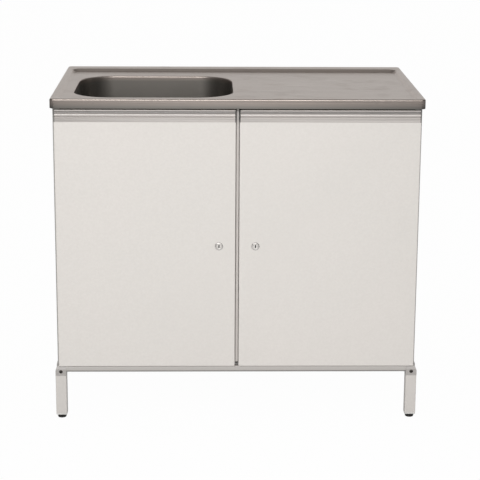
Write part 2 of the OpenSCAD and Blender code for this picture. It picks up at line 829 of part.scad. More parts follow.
// Corner piece for +X and the back, turned to its corner by mirrors
module corner_casting(sx, sy) {
    inner_x = leg_x - leg_w / 2;
    inner_y = leg_y - leg_w / 2;
    outer_x = leg_x + leg_w / 2;
    outer_y = leg_y + leg_w / 2;
    top = cabinet_bottom;
    pocket = plug_w + 2 * fitted;
    mirrored_x(sx) mirror([0, sy < 0 ? 1 : 0, 0]) color(PAINT_GREY) difference() {
        union() {
            intersection() {
                along_y(inner_y, outer_y) polygon([
                    [inner_x, casting_bottom], [outer_x, casting_bottom], [outer_x, top - casting_chamfer_z],
                    [outer_x - casting_chamfer_x, top], [inner_x, top]
                ]);
                along_x(inner_x, outer_x) polygon([
                    [inner_y, casting_bottom], [outer_y, casting_bottom], [outer_y, top - casting_slope_z],
                    [outer_y - casting_slope_y, top], [inner_y, top]
                ]);
            }
            translate([0, rail_y, 0]) along_x(inner_x - tongue_l, inner_x + 1) tongue_section();
            translate([rail_x, 0, 0]) along_y(inner_y - tongue_l, inner_y + 1) tongue_section();
        }
        translate([leg_x - pocket / 2, leg_y - pocket / 2, casting_bottom - 1])
            cube([pocket, pocket, plug_h + fitted + 1]);
        translate([leg_x, outer_y + 1, bolt_z]) rotate([90, 0, 0])
            cylinder(r = bolt_r + running, h = leg_w / 2);
        if (sy < 0) {
            translate([pivot_x, -pivot_y, top - lower_pin_seat - eps])
                cylinder(r = pin_r + running, h = lower_pin_seat + 1);
        }
    }
}

module leg(sx, sy) {
    r = leg_corner_r;
    half = leg_w / 2;
    inner = half - leg_wall;
    color(PAINT) translate([sx * leg_x, sy * leg_y, 0]) mirror([0, sy < 0 ? 1 : 0, 0]) {
        translate([0, 0, foot_h + collar_h]) linear_extrude(casting_bottom - foot_h - collar_h) difference() {
            polygon(rounded([-half, -half], [half, half], r));
            polygon(rounded([-inner, -inner], [inner, inner], r - leg_wall));
        }
        translate([0, 0, casting_bottom - 3]) linear_extrude(3)
            polygon(rounded([-half, -half], [half, half], r));
        difference() {
            translate([-plug_w / 2, -plug_w / 2, casting_bottom - 1]) cube([plug_w, plug_w, plug_h + 1]);
            translate([0, plug_w, bolt_z]) rotate([90, 0, 0])
                cylinder(r = bolt_r + running, h = 1.4 * plug_w);
        }
    }
}

// One button-head bolt through each casting into the leg's plug
module leg_bolts() {
    color(ZINC) for (sx = [-1, 1], sy = [-1, 1]) {
        translate([sx * leg_x, sy * (leg_y + leg_w / 2), bolt_z]) rotate([sy * -90, 0, 0]) difference() {
            union() {
                translate([0, 0, -16]) cylinder(r = bolt_r, h = 16 + eps);
                rotate_extrude() polygon([
                    [0, 0], [bolt_head_r, 0], [bolt_head_r, 0.6], [bolt_head_r - 0.8, 2],
                    [bolt_head_r - 2, 2.9], [0, 3.2]
                ]);
            }
            translate([0, 0, 1]) cylinder(r = 2.3, h = 3, $fn = 6);
        }
    }
}

module corner_places() {
    for (sx = [-1, 1], sy = [-1, 1]) {
        translate([sx * leg_x, sy * leg_y, 0]) children();
    }
}

module foot_inserts() {
    w = leg_w - 2 * leg_wall - 2 * running;
    color(PAINT_GREY) corner_places() difference() {
        union() {
            translate([0, 0, foot_h]) linear_extrude(insert_h)
                polygon(rounded([-w / 2, -w / 2], [w / 2, w / 2], leg_corner_r - leg_wall));
            translate([0, 0, foot_h]) linear_extrude(collar_h)
                polygon(rounded([-leg_w / 2, -leg_w / 2], [leg_w / 2, leg_w / 2], leg_corner_r));
        }
        translate([0, 0, foot_h - 1]) cylinder(r = stud_r + running, h = insert_h + 2);
    }
}

module levelling_foot(sx, sy) {
    color(BLACK) translate([sx * leg_x, sy * leg_y, 0]) {
        rotate_extrude() polygon(concat(
            [[0, 0]],
            arc([foot_r - 2, 2], 2, -90, -15),
            [[foot_top_r, foot_h - 4], [foot_top_r, foot_h], [0, foot_h]]
        ));
        translate([0, 0, foot_h - 1]) cylinder(r = stud_r, h = stud_l + 1);
    }
}

// Hinges

module top_hinge_plates() {
    inner = flange_x - 9;
    outer = cab_x - 0.5;
    front = door_front + 1;
    corner_r = 4;
    color(ZINC) for (s = [-1, 1]) {
        mirrored_x(s) difference() {
            translate([0, 0, cab_top]) linear_extrude(hinge_plate_t)
                polygon(rounded([inner, front], [outer, hinge_plate_back], corner_r));
            translate([pivot_x, pivot_y, cab_top - 1]) cylinder(r = pin_r + running, h = hinge_plate_t + 2);
            plate_screw_places() translate([0, 0, -1]) cylinder(r = screw_r + running, h = hinge_plate_t + 2);
        }
    }
}

module hinge_pins() {
    upper = [door_top - pin_reach, cab_top + hinge_plate_t];
    lower = [cabinet_bottom - lower_pin_seat, door_bottom + pin_reach - 4];
    color(STEEL) for (s = [-1, 1], span = [upper, lower]) {
        translate([s * pivot_x, pivot_y, span[0]]) cylinder(r = pin_r, h = span[1] - span[0]);
    }
}

module door_buffers() {
    length = door_back_gap - 0.3;
    r = 5;
    bevel = 1.5;
    from_end = 45;
    color(BLACK) for (s = [-1, 1], z = [door_bottom + from_end, skin_top - from_end]) {
        translate([s * (door_inner + 8), cab_front, z]) rotate([90, 0, 0]) rotate_extrude() polygon([
            [0, 0], [r, 0], [r, length - bevel], [r - bevel, length], [0, length]
        ]);
    }
}

// Eight screws in the lower flanges and four in the hinge plates
module cabinet_screws() {
    color(ZINC) for (s = [-1, 1]) {
        mirrored_x(s) {
            base_screw_places() {
                translate([0, 0, -8]) cylinder(r = screw_r, h = 8 + panel_sheet + eps);
                translate([0, 0, panel_sheet]) screw_head();
            }
            plate_screw_places() {
                translate([0, 0, -6]) cylinder(r = screw_r, h = 6 + hinge_plate_t + eps);
                translate([0, 0, hinge_plate_t]) screw_head();
            }
        }
    }
}

// Doors, drawn on +X and mirrored for the left one

module door_skin(side) {
    t = door_sheet;
    a = door_inner + t / 2;
    b = door_outer - t / 2;
    f = door_front + t / 2;
    r = door_back - t / 2;
    mirrored_x(side) color(PAINT) difference() {
        union() {
            translate([0, 0, door_bottom]) linear_extrude(skin_top - door_bottom) polygon(folded([
                [a + door_lip, r], [a, r], [a, f], [b, f], [b, r], [b - door_lip, r]
            ], t));
            translate([a, f, door_bottom]) cube([b - a, r - f, t]);
        }
        translate([pivot_x, pivot_y, door_bottom - 1]) cylinder(r = bush_r + running, h = t + 2);
        lock_place() cylinder(r = lock_r + fitted, h = 4 * t, center = true);
    }
}

// The lock's axis, with z pointing out of the door's front
module lock_place() {
    translate([lock_x, door_front, lock_z]) rotate([90, 0, 0]) children();
}

// Inner sheet behind the lips, with a shallow pressed field
module door_liner(side) {
    t = door_sheet;
    w = door_w - 2 * (t + bend_r + fitted);
    h = skin_top - door_bottom - t;
    fw = w - 2 * liner_border;
    fh = h - 2 * liner_border;
    r = 20;
    mirrored_x(side) color(PAINT) difference() {
        translate([stiffener_x, door_back - t, door_bottom + t + h / 2]) rotate([-90, 0, 0]) {
            translate([0, 0, -t]) difference() {
                translate([-w / 2, -h / 2, 0]) cube([w, h, t]);
                translate([0, 0, -1]) rounded_plate(fw, fh, r, t + 2);
            }
            pressed_field(fw, fh, r, 6, liner_press, t);
        }
        lock_place() cylinder(r = lock_r + fitted, h = 60, center = true);
        translate([pivot_x, pivot_y, door_bottom]) cylinder(r = bush_r + fitted, h = bush_l + 2);
    }
}

// Hat section between the skin and the liner's field
module door_stiffener(side) {
    t = door_sheet;
    f = door_front + door_sheet + t / 2;
    r = liner_front - liner_press - t / 2;
    c = stiffener_crown / 2;
    foot = c + 4;
    edge = foot + 20;
    low = door_bottom + liner_border + 20;
    high = skin_top - liner_border - 20;
    mirrored_x(side) color(ZINC) translate([stiffener_x, 0, low]) linear_extrude(high - low)
        polygon(folded([[-edge, r], [-foot, r], [-c, f], [c, f], [foot, r], [edge, r]], t));
}

// The grip profile's front from its shoulder to its top, as [depth behind the face, height]
function grip_front(h) =
    let (top = h - 4.5)
    let (mid = h - 15)
    let (groove = (top - mid - 5) / 2)
    let (groove_r = (groove * groove + groove_depth * groove_depth) / (2 * groove_depth))
    let (open = asin(groove / groove_r))
    concat(
        [[0, 0], [0, 1.5], [0.6, 2], [0.6, 8.6], [0, 9.2], [-0.6, 10], [-0.6, 12.2], [0, 12.8]],
        [[1.6, 13.4], [1.6, 15], [0, 15.8]],
        arc([2.1, 19], 3.8, 237, 123, 6),
        arc([groove_depth - groove_r, top - groove], groove_r, -open, open, 6),
        [[0, top]],
        arc([2, h - 2], 2, 180, 90)
    );

module grip_profile(side) {
    leg_end = door_sheet + bend_r + fitted;
    mirrored_x(side) color(ALUMINIUM) difference() {
        union() {
            along_x(door_inner + cap_t, door_outer - cap_t) polygon(grip_outline());
            along_x(door_inner + leg_end, door_outer - leg_end) {
                grip_leg_section(door_front + door_sheet + fitted);
                grip_leg_section(liner_front - fitted - grip_wall);
            }
        }
        along_x(door_inner - 1, door_outer + 1) polygon(grip_cavity(0));
        translate([pivot_x, pivot_y, door_top - 5]) cylinder(r = bush_r + running, h = 6);
    }
}

module grip_leg_section(y) {
    translate([y, skin_top - grip_leg]) square([grip_wall, grip_leg + 1]);
}

function grip_outline() = concat(
    [for (p = grip_front(grip_h)) [door_front + p.x, skin_top + p.y]],
    [[door_back - 1, door_top], [door_back, door_top - 1], [door_back, skin_top]]
);

// The profile's hollow, drawn in by gap
function grip_cavity(gap) = rounded(
    [door_front + groove_depth + grip_wall + gap, skin_top + 2 + gap],
    [door_back - grip_wall - gap, door_top - grip_wall - gap], 1.5);

module grip_caps(side) {
    plug = 1.2;
    mirrored_x(side) color(ALUMINIUM) {
        along_x(door_inner, door_inner + cap_t) polygon(grip_outline());
        along_x(door_outer - cap_t, door_outer) polygon(grip_outline());
        along_x(door_inner + cap_t - eps, door_inner + cap_t + plug) polygon(grip_cavity(fitted));
        along_x(door_outer - cap_t - plug, door_outer - cap_t + eps) polygon(grip_cavity(fitted));
    }
}

module hinge_bushes(side) {
    mirrored_x(side) color(NYLON) {
        translate([pivot_x, pivot_y, door_bottom]) bush(bottom_gap);
        translate([pivot_x, pivot_y, door_top]) mirror([0, 0, 1]) bush(top_bush_flange);
    }
}

// A flanged bush that reaches up from z = 0, with its flange of thickness t below
module bush(t) {
    difference() {
        union() {
            translate([0, 0, -t]) cylinder(r = bush_flange_r, h = t);
            translate([0, 0, -eps]) cylinder(r = bush_r, h = bush_l + eps);
        }
        translate([0, 0, -t - 1]) cylinder(r = pin_r + running, h = bush_l + t + 2);
    }
}

// Locks

module lock_body(side) {
    length = lock_body_back - door_front;
    mirrored_x(side) color(STEEL) lock_place() difference() {
        union() {
            rotate_extrude() polygon([
                [0, 0], [lock_face_r, 0], [lock_face_r, lock_face_t - 1],
                [lock_face_r - 1, lock_face_t], [0, lock_face_t]
            ]);
            translate([0, 0, -length]) cylinder(r = lock_r, h = length + eps);
        }
        translate([0, 0, -length - 1]) cylinder(r = plug_r + running, h = length + lock_face_t + 2);
    }
}

module lock_nut(side) {
    mirrored_x(side) color(ZINC) lock_place() difference() {
        translate([0, 0, door_front - lock_nut_back]) cylinder(r = lock_r + 4, h = 5, $fn = 6);
        translate([0, 0, door_front - lock_nut_back - 1]) cylinder(r = lock_r + running, h = 7);
    }
}

// The turning plug, with its keyway upright and a square end for the cam
module lock_plug(side) {
    length = lock_body_back - door_front;
    square_w = 7;
    face = lock_face_t - 0.4;
    mirrored_x(side) color(STEEL) lock_place() difference() {
        union() {
            translate([0, 0, -length]) cylinder(r = plug_r, h = length + face);
            translate([-square_w / 2, -square_w / 2, door_front - cam_back])
                cube([square_w, square_w, cam_back - lock_body_back + 1]);
        }
        translate([-1, -3.6, face - 5]) cube([2, 7.2, 6]);
        translate([0, 0, door_front - cam_back - 1]) cylinder(r = 2 + running, h = 9);
    }
}

module lock_cam(side) {
    tip = cam_w / 2 - 2;
    mirrored_x(side) color(ZINC) lock_place() translate([0, 0, door_front - cam_back]) difference() {
        union() {
            cylinder(r = cam_w / 2, h = cam_t);
            linear_extrude(cam_t) polygon(rounded([1 - cam_w / 2, 0], [cam_w / 2 - 1, cam_l], tip));
        }
        translate([-3.5 - running, -3.5 - running, -1]) cube([7 + 2 * running, 7 + 2 * running, cam_t + 2]);
    }
}

module cam_screw(side) {
    mirrored_x(side) color(ZINC) lock_place() translate([0, 0, door_front - cam_back]) mirror([0, 0, 1]) {
        translate([0, 0, -7]) cylinder(r = 2, h = 7 + eps);
        cylinder(r = 5.5, h = 1);
        translate([0, 0, 1 - eps]) screw_head();
    }
}

worktop();
sink_bowl();
worktop_battens();
drainer_stiffeners();
worktop_screws();
waste_flange();
waste_seal();
waste_body();
waste_screw();
side_panel(-1);  // side_panel_left
side_panel(1);  // side_panel_right
back_panel();
bottom_pan();
centre_post();
front_top_rail();
back_top_rail();
base_rail(-rail_y);  // base_rail_front
base_rail(rail_y);  // base_rail_back
base_side_rails();
corner_casting(-1, -1);  // corner_casting_front_left
corner_casting(1, -1);  // corner_casting_front_right
corner_casting(-1, 1);  // corner_casting_back_left
corner_casting(1, 1);  // corner_casting_back_right
leg(-1, -1);  // leg_front_left
leg(1, -1);  // leg_front_right
leg(-1, 1);  // leg_back_left
leg(1, 1);  // leg_back_right
leg_bolts();
foot_inserts();
levelling_foot(-1, -1);  // levelling_foot_front_left
levelling_foot(1, -1);  // levelling_foot_front_right
levelling_foot(-1, 1);  // levelling_foot_back_left
levelling_foot(1, 1);  // levelling_foot_back_right
top_hinge_plates();
hinge_pins();
door_buffers();
cabinet_screws();
door_skin(-1);  // door_skin_left
door_liner(-1);  // door_liner_left
door_stiffener(-1);  // door_stiffener_left
grip_profile(-1);  // grip_profile_left
grip_caps(-1);  // grip_caps_left
hinge_bushes(-1);  // hinge_bushes_left
lock_body(-1);  // lock_body_left
lock_nut(-1);  // lock_nut_left
lock_plug(-1);  // lock_plug_left
lock_cam(-1);  // lock_cam_left
cam_screw(-1);  // cam_screw_left
door_skin(1);  // door_skin_right
door_liner(1);  // door_liner_right
door_stiffener(1);  // door_stiffener_right
grip_profile(1);  // grip_profile_right
grip_caps(1);  // grip_caps_right
hinge_bushes(1);  // hinge_bushes_right
lock_body(1);  // lock_body_right
lock_nut(1);  // lock_nut_right
lock_plug(1);  // lock_plug_right
lock_cam(1);  // lock_cam_right
cam_screw(1);  // cam_screw_right
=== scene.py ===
import json
import math

import bmesh
import bpy
from mathutils import Matrix, Vector

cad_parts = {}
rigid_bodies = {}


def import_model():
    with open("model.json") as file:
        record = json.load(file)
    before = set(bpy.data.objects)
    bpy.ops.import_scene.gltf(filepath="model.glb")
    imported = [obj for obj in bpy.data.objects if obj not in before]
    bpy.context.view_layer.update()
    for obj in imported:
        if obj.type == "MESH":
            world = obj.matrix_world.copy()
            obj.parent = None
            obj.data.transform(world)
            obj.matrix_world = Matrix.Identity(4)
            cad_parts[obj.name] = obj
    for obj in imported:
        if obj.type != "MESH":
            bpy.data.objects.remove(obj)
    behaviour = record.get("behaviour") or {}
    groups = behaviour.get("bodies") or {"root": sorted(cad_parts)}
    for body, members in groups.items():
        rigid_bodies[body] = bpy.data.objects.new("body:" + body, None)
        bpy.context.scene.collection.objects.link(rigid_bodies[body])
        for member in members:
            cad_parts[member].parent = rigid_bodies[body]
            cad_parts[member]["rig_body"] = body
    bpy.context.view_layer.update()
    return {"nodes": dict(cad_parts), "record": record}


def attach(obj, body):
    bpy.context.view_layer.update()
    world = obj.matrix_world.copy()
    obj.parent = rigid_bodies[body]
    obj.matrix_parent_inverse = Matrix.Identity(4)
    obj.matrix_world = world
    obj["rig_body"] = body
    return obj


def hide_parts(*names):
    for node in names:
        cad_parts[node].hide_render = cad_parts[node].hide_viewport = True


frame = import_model()
MM = 0.001

# Sizes and places that repeat the part's source, in millimetres
# Worktop: outside, sheet, skirt and hem, corner and rolled edge, draining field and its slope
BENCH_W, BENCH_D, BENCH_H = 1000, 600, 900
SHEET = 1
SKIRT_H, HEM_W = 26, 3
CORNER_R, EDGE_R = 12, 4
FIELD_W, FIELD_D, FIELD_Y, FIELD_R = 970, 535, -17.5, 30
FIELD_SLOPE, FIELD_Z = 10, 893
# Bowl: mouth, lip and wall, bottom with its fall, dish and waste hole
BOWL_X, BOWL_Y, BOWL_L, BOWL_B, BOWL_R = -229, -40, 444, 386, 105
LIP_R, LIP_FLANGE, WALL_LEAN, BOTTOM_R = 3.5, 3, 8, 40
BOWL_FLOOR, BOTTOM_FALL, DISH_Z, DISH_R, HOLE_R = 733, 3, 727.5, 42, 30
# Feet and the legs' places
FOOT_H, FOOT_R, FOOT_TOP_R, STUD_R, STUD_L = 10.5, 11.5, 13.3, 5, 45
LEG_X, LEG_Y = 485, 275
# Locks in the doors
LOCK_X, LOCK_Z, LOCK_FACE_R, LOCK_R, LOCK_FACE_T, PLUG_R = 49.5, 494.5, 10.5, 9, 2, 6
DOOR_FRONT, LOCK_BODY_BACK = -290, -260
# Screws: shank and head, and for each row its places and the face under the heads
SCREW_R, SCREW_HEAD_R = 2.25, 4.25
BATTEN_X, BATTEN_Y, BATTEN_FACE = (-430.5, 0, 430.5), (-258, 231.75), 874.5
FLANGE_X, FLANGE_Y, FLANGE_FACE = 483.5, (-180, -60, 60, 180), 152.5
PLATE_X, PLATE_Y, PLATE_FACE = 485.5, (-253, -233), 878.5

# Sizes of the scene's own, in millimetres: keyway and cross recess
KEYWAY_W, KEYWAY_H, KEYWAY_DEEP = 3, 8.2, 4
RECESS_L, RECESS_W, RECESS_FLOOR = 4, 1, 1.2
SIDES = (("left", -1), ("right", 1))
ENDS = (("front", -1), ("back", 1))


# Nodes of a material or group

class Net:
    """Adds nodes to one tree and joins them."""

    def __init__(self, tree):
        self.tree = tree

    def add(self, kind, inputs=None, **settings):
        node = self.tree.nodes.new(kind)
        for key, value in settings.items():
            setattr(node, key, value)
        for key, value in (inputs or {}).items():
            self.put(node.inputs[key], value)
        return node

    def put(self, socket, value):
        if isinstance(value, bpy.types.NodeSocket):
            self.tree.links.new(value, socket)
        else:
            socket.default_value = value

    def math(self, operation, a, b=0.0, c=0.0, clamp=False):
        inputs = {0: a, 1: b, 2: c}
        return self.add("ShaderNodeMath", inputs, operation=operation, use_clamp=clamp).outputs[0]

    def axes(self, vector):
        return self.add("ShaderNodeSeparateXYZ", {0: vector}).outputs

    def vector(self, x=0.0, y=0.0, z=0.0):
        return self.add("ShaderNodeCombineXYZ", {0: x, 1: y, 2: z}).outputs[0]

    def between(self, share, low, high):
        return self.add("ShaderNodeMix", {0: share, 2: low, 3: high}).outputs[0]

    def scaled(self, vector, scale):
        return self.add("ShaderNodeVectorMath", {0: vector, 1: scale}, operation="MULTIPLY").outputs[0]

    def noise(self, vector, scale, detail=2.0, rough=0.5):
        return self.add("ShaderNodeTexNoise", {
            "Vector": vector, "Scale": scale, "Detail": detail, "Roughness": rough}).outputs["Fac"]

    def mix(self, fac, a, b):
        node = self.add("ShaderNodeMix", data_type="RGBA")
        self.put(node.inputs[0], fac)
        self.put(node.inputs[6], a)
        self.put(node.inputs[7], b)
        return node.outputs[2]

    def span(self, value, low, high, to_low=0.0, to_high=1.0):
        return self.add("ShaderNodeMapRange", {
            0: value, 1: low, 2: high, 3: to_low, 4: to_high}, clamp=True).outputs[0]


def shader_group(name, inputs, outputs):
    group = bpy.data.node_groups.new(name, "ShaderNodeTree")
    for label, kind, value in inputs:
        socket = group.interface.new_socket(label, in_out="INPUT", socket_type=kind)
        if value is not None:
            socket.default_value = value
    for label, kind in outputs:
        group.interface.new_socket(label, in_out="OUTPUT", socket_type=kind)
    net = Net(group)
    return group, net, net.add("NodeGroupInput").outputs, net.add("NodeGroupOutput").inputs


FLOAT, VECTOR = "NodeSocketFloat", "NodeSocketVector"


def brushed_group():
    """Fine parallel grinding lines that run along X, or along Y on faces that look along X."""
    group, net, given, out = shader_group(
        "brushed_lines",
        [("Vector", VECTOR, None), ("Normal", VECTOR, None),
         ("Fineness", FLOAT, 1.0), ("Length", FLOAT, 1.0)],
        [("Lines", FLOAT), ("Streaks", FLOAT)])
    side = net.math("GREATER_THAN", net.math("ABSOLUTE", net.axes(given["Normal"])[0]), 0.75)
    p = net.axes(given["Vector"])
    along = net.between(side, p[0], p[1])
    across = net.between(side, p[1], p[0])
    fine = net.math("MULTIPLY", given["Fineness"], 1400)
    coarse = net.math("MULTIPLY", given["Fineness"], 330)
    run = net.math("DIVIDE", 9, given["Length"])

    def lines(spread, stretch, detail):
        vector = net.vector(
            net.math("MULTIPLY", along, stretch), net.math("MULTIPLY", across, spread),
            net.math("MULTIPLY", p[2], spread))
        return net.noise(vector, 1.0, detail, 0.55)

    net.put(out["Lines"], lines(fine, run, 2.0))
    net.put(out["Streaks"], lines(coarse, net.math("MULTIPLY", run, 0.3), 3.0))
    return group


def clouds_group():
    """Slow changes of tone over a surface, and smaller smudges left by hands and cloths."""
    group, net, given, out = shader_group(
        "clouds_and_smudges",
        [("Vector", VECTOR, None), ("Size", FLOAT, 0.3), ("Smudge", FLOAT, 0.5)],
        [("Clouds", FLOAT), ("Smudges", FLOAT)])
    scale = net.math("DIVIDE", 1.0, given["Size"])
    net.put(out["Clouds"], net.noise(given["Vector"], scale, 3.0, 0.55))
    spots = net.noise(given["Vector"], net.math("MULTIPLY", scale, 4.5), 5.0, 0.65)
    net.put(out["Smudges"], net.math("MULTIPLY", net.span(spots, 0.52, 0.72), given["Smudge"]))
    return group


def coat_group():
    """The fine orange peel of baked powder coat with a few specks."""
    group, net, given, out = shader_group(
        "powder_coat",
        [("Vector", VECTOR, None), ("Grain", FLOAT, 1.0)],
        [("Height", FLOAT), ("Specks", FLOAT)])
    scale = net.math("DIVIDE", 900.0, given["Grain"])
    peel = net.noise(given["Vector"], scale, 2.0, 0.45)
    wave = net.noise(given["Vector"], net.math("MULTIPLY", scale, 0.22), 1.0, 0.5)
    net.put(out["Height"], net.math("MULTIPLY_ADD", wave, 0.8, peel))
    cell = net.add("ShaderNodeTexVoronoi", {"Vector": given["Vector"], "Scale": 70.0}, feature="F1")
    speck = net.span(cell.outputs["Distance"], 0.02, 0.05, 1.0, 0.0)
    chance = net.add("ShaderNodeSeparateColor", {0: cell.outputs["Color"]}).outputs[0]
    net.put(out["Specks"], net.math("MULTIPLY", speck, net.math("GREATER_THAN", chance, 0.9)))
    return group


def wear_and_sheen_group():
    """Sharp edges, broken up so that the mask is uneven: wear where the edge colour is dark, a painted
    highlight where it is light.
    """
    group, net, given, out = shader_group(
        "edge_wear",
        [("Vector", VECTOR, None), ("Amount", FLOAT, 0.5)],
        [("Mask", FLOAT)])
    point = net.add("ShaderNodeNewGeometry").outputs["Pointiness"]
    edge = net.span(point, 0.52, 0.62)
    broken = net.span(net.noise(given["Vector"], 160.0, 4.0, 0.6), 0.35, 0.7)
    worn_and_lit = net.math("MULTIPLY", edge, broken)
    net.put(out["Mask"], net.math("MULTIPLY", worn_and_lit, given["Amount"], clamp=True))
    return group


def scratch_group():
    """Sparse hairline scratches in two directions."""
    group, net, given, out = shader_group(
        "hair_scratches",
        [("Vector", VECTOR, None), ("Density", FLOAT, 1.0)],
        [("Mask", FLOAT)])
    total = None
    for turn, stretch in ((0.5, 60.0), (-0.9, 45.0)):
        turned = net.add(
            "ShaderNodeMapping", {"Vector": given["Vector"], "Rotation": (0, 0, turn)}).outputs[0]
        bent = net.add("ShaderNodeTexNoise", {"Vector": turned, "Scale": 7.0}).outputs["Color"]
        turned = net.add("ShaderNodeVectorMath", {0: bent, 1: (0.02, 0.02, 0.02), 2: turned},
                         operation="MULTIPLY_ADD").outputs[0]
        cell = net.add("ShaderNodeTexVoronoi", {
            "Vector": net.scaled(turned, (3.0, stretch * 2, stretch * 2)), "Scale": 2.2},
            feature="DISTANCE_TO_EDGE")
        line = net.span(cell.outputs["Distance"], 0.0, 0.02, 1.0, 0.0)
        gaps = net.span(net.noise(turned, 22.0, 2.0), 0.56, 0.62)
        line = net.math("MULTIPLY", line, gaps)
        total = line if total is None else net.math("MAXIMUM", total, line)
    net.put(out["Mask"], net.math("MULTIPLY", total, given["Density"], clamp=True))
    return group


BRUSHED, CLOUDS, COAT, WEAR_AND_SHEEN, SCRATCHES = (
    brushed_group(), clouds_group(), coat_group(), wear_and_sheen_group(), scratch_group())


def start_material(name, **fixed):
    """A material with its Principled shader's even values set on the shader's own sockets."""
    mat = bpy.data.materials.new(name)
    mat.use_nodes = True
    net = Net(mat.node_tree)
    shader = mat.node_tree.nodes["Principled BSDF"]
    for key, value in fixed.items():
        shader.inputs[key.replace("_", " ")].default_value = value
    place = net.add("ShaderNodeTexCoord").outputs
    return mat, net, shader, place["Object"], place["Normal"]


def use(net, group, inputs):
    node = net.add("ShaderNodeGroup", node_tree=group)
    for key, value in inputs.items():
        net.put(node.inputs[key], value)
    return node.outputs


def bump(net, shader, height, distance, strength):
    net.put(shader.inputs["Normal"], net.add("ShaderNodeBump", {
        "Height": height, "Distance": distance, "Strength": strength}).outputs[0])


def rgb(*values):
    return (*values, 1.0)


def shade(color, *shares):
    """The colour times one share, or times a share for each channel, and at most white."""
    shares = shares if len(shares) == 3 else shares * 3
    return rgb(*[min(1.0, c * s) for c, s in zip(color, shares)])


# Deep drawn bowl: share of its colour kept under its painted shade, share of its relief, and the height
# over which it darkens and turns dull, in metres
BOWL_PAINTED_SHADE, DRAWN_RELIEF, DRAWN_BLEND = (0.62, 0.67, 0.68), 0.25, 0.012
# Painted shade along the rails' lower edge: share of their colour, how much of it shows, and its start's
# height in metres
UNDERSIDE_SHADE, UNDERSIDE_SHADE_SHARE, UNDERSIDE_SHADE_BLEND = 0.3, 0.75, 0.002


def steel_material(name, color, rough, fineness=1.0, length=1.0, scratches=0.5, smudge=0.5,
                   grain=1.0, metallic=1.0, bowl_shade_below=None, recess_shade=None):
    """Ground sheet or bar with lines, slow tone, smudges and hairline scratches.

    Below a given height it is deep drawn, so duller and smoother, and its colour is darkened there as
    painted shade inside the bowl.
    The last argument is (unshaded depth, shaded depth, share of the colour left) along Y, a painted shade
    for grooves and keyways.
    """
    mat, net, shader, place, normal = start_material(name, Metallic=metallic)
    lines = use(net, BRUSHED, {
        "Vector": place, "Normal": normal, "Fineness": fineness, "Length": length})
    tone = use(net, CLOUDS, {"Vector": place, "Size": 0.28, "Smudge": smudge})
    marks = use(net, SCRATCHES, {"Vector": place, "Density": scratches})
    body = net.mix(net.span(lines["Streaks"], 0.3, 0.7), shade(color, 0.86), shade(color, 1.12))
    warm = net.span(tone["Clouds"], 0.35, 0.65, 0.0, 0.35)
    body = net.mix(warm, body, shade(color, 1.0, 0.985, 0.96))
    body = net.mix(net.math("MULTIPLY", marks["Mask"], 0.5), body, shade(color, 1.35))
    value = net.span(lines["Lines"], 0.3, 0.7, rough - 0.06, rough + 0.07)
    value = net.math("MULTIPLY_ADD", tone["Smudges"], 0.12, value)
    relief = net.math("MULTIPLY_ADD", marks["Mask"], -0.6, lines["Lines"])
    # Painted shade: the colour darkens below the given height, inside the bowl; the duller, smoother finish
    # there is the drawn sheet's own
    if bowl_shade_below:
        bowl_shade = net.span(net.axes(place)[2], bowl_shade_below, bowl_shade_below - DRAWN_BLEND)
        body = net.mix(bowl_shade, body, shade(color, *BOWL_PAINTED_SHADE))
        relief = net.math("MULTIPLY", relief, net.span(bowl_shade, 0.0, 1.0, 1.0, DRAWN_RELIEF))
        value = net.between(net.math("MULTIPLY", bowl_shade, 0.7), value, rough + 0.04)
    # Painted shade in grooves and keyways: the colour darkens with depth along Y
    if recess_shade:
        unshaded_depth, shaded_depth, left = recess_shade
        body = net.mix(net.span(net.axes(place)[1], unshaded_depth, shaded_depth), body, shade(color, left))
    net.put(shader.inputs["Base Color"], body)
    net.put(shader.inputs["Roughness"], value)
    bump(net, shader, relief, 0.00006 * grain, 0.35)
    return mat


def enamel_material(name, color, rough, grain=1.0, wear_and_sheen=0.4, wear_and_sheen_color=(0.36, 0.35, 0.34),
                    shaded_below=None):
    """Baked powder coat over sheet steel: its edge mask shows wear in a dark edge colour and a painted
    highlight in a light one, and a painted shade darkens it below a given height.
    """
    mat, net, shader, place, _ = start_material(name, Metallic=0.0, Coat_Weight=0.08, Coat_Roughness=0.22)
    coat = use(net, COAT, {"Vector": place, "Grain": grain})
    tone = use(net, CLOUDS, {"Vector": place, "Size": 0.45, "Smudge": 0.5})
    worn_and_lit = use(net, WEAR_AND_SHEEN, {"Vector": place, "Amount": wear_and_sheen})
    cool = shade(color, 0.975, 0.985, 0.985)
    body = net.mix(net.span(tone["Clouds"], 0.3, 0.7), cool, rgb(*color))
    body = net.mix(net.math("MULTIPLY", coat["Specks"], 0.25), body, shade(color, 0.8))
    body = net.mix(net.math("MULTIPLY", tone["Smudges"], 0.06), body, shade(color, 0.9))
    body = net.mix(net.math("MULTIPLY", worn_and_lit["Mask"], 0.6), body, rgb(*wear_and_sheen_color))
    # Painted shade below the given height, where the rail's lower edge turns away from the light
    if shaded_below:
        height = net.axes(place)[2]
        low = net.span(height, shaded_below, shaded_below - UNDERSIDE_SHADE_BLEND, 0.0, UNDERSIDE_SHADE_SHARE)
        body = net.mix(low, body, shade(color, UNDERSIDE_SHADE))
    net.put(shader.inputs["Base Color"], body)
    value = net.span(tone["Clouds"], 0.3, 0.7, rough - 0.03, rough + 0.03)
    net.put(shader.inputs["Roughness"], net.math("MULTIPLY_ADD", tone["Smudges"], 0.08, value))
    bump(net, shader, coat["Height"], 0.00004 * grain, 0.25)
    return mat


DUST = rgb(0.35, 0.34, 0.32)


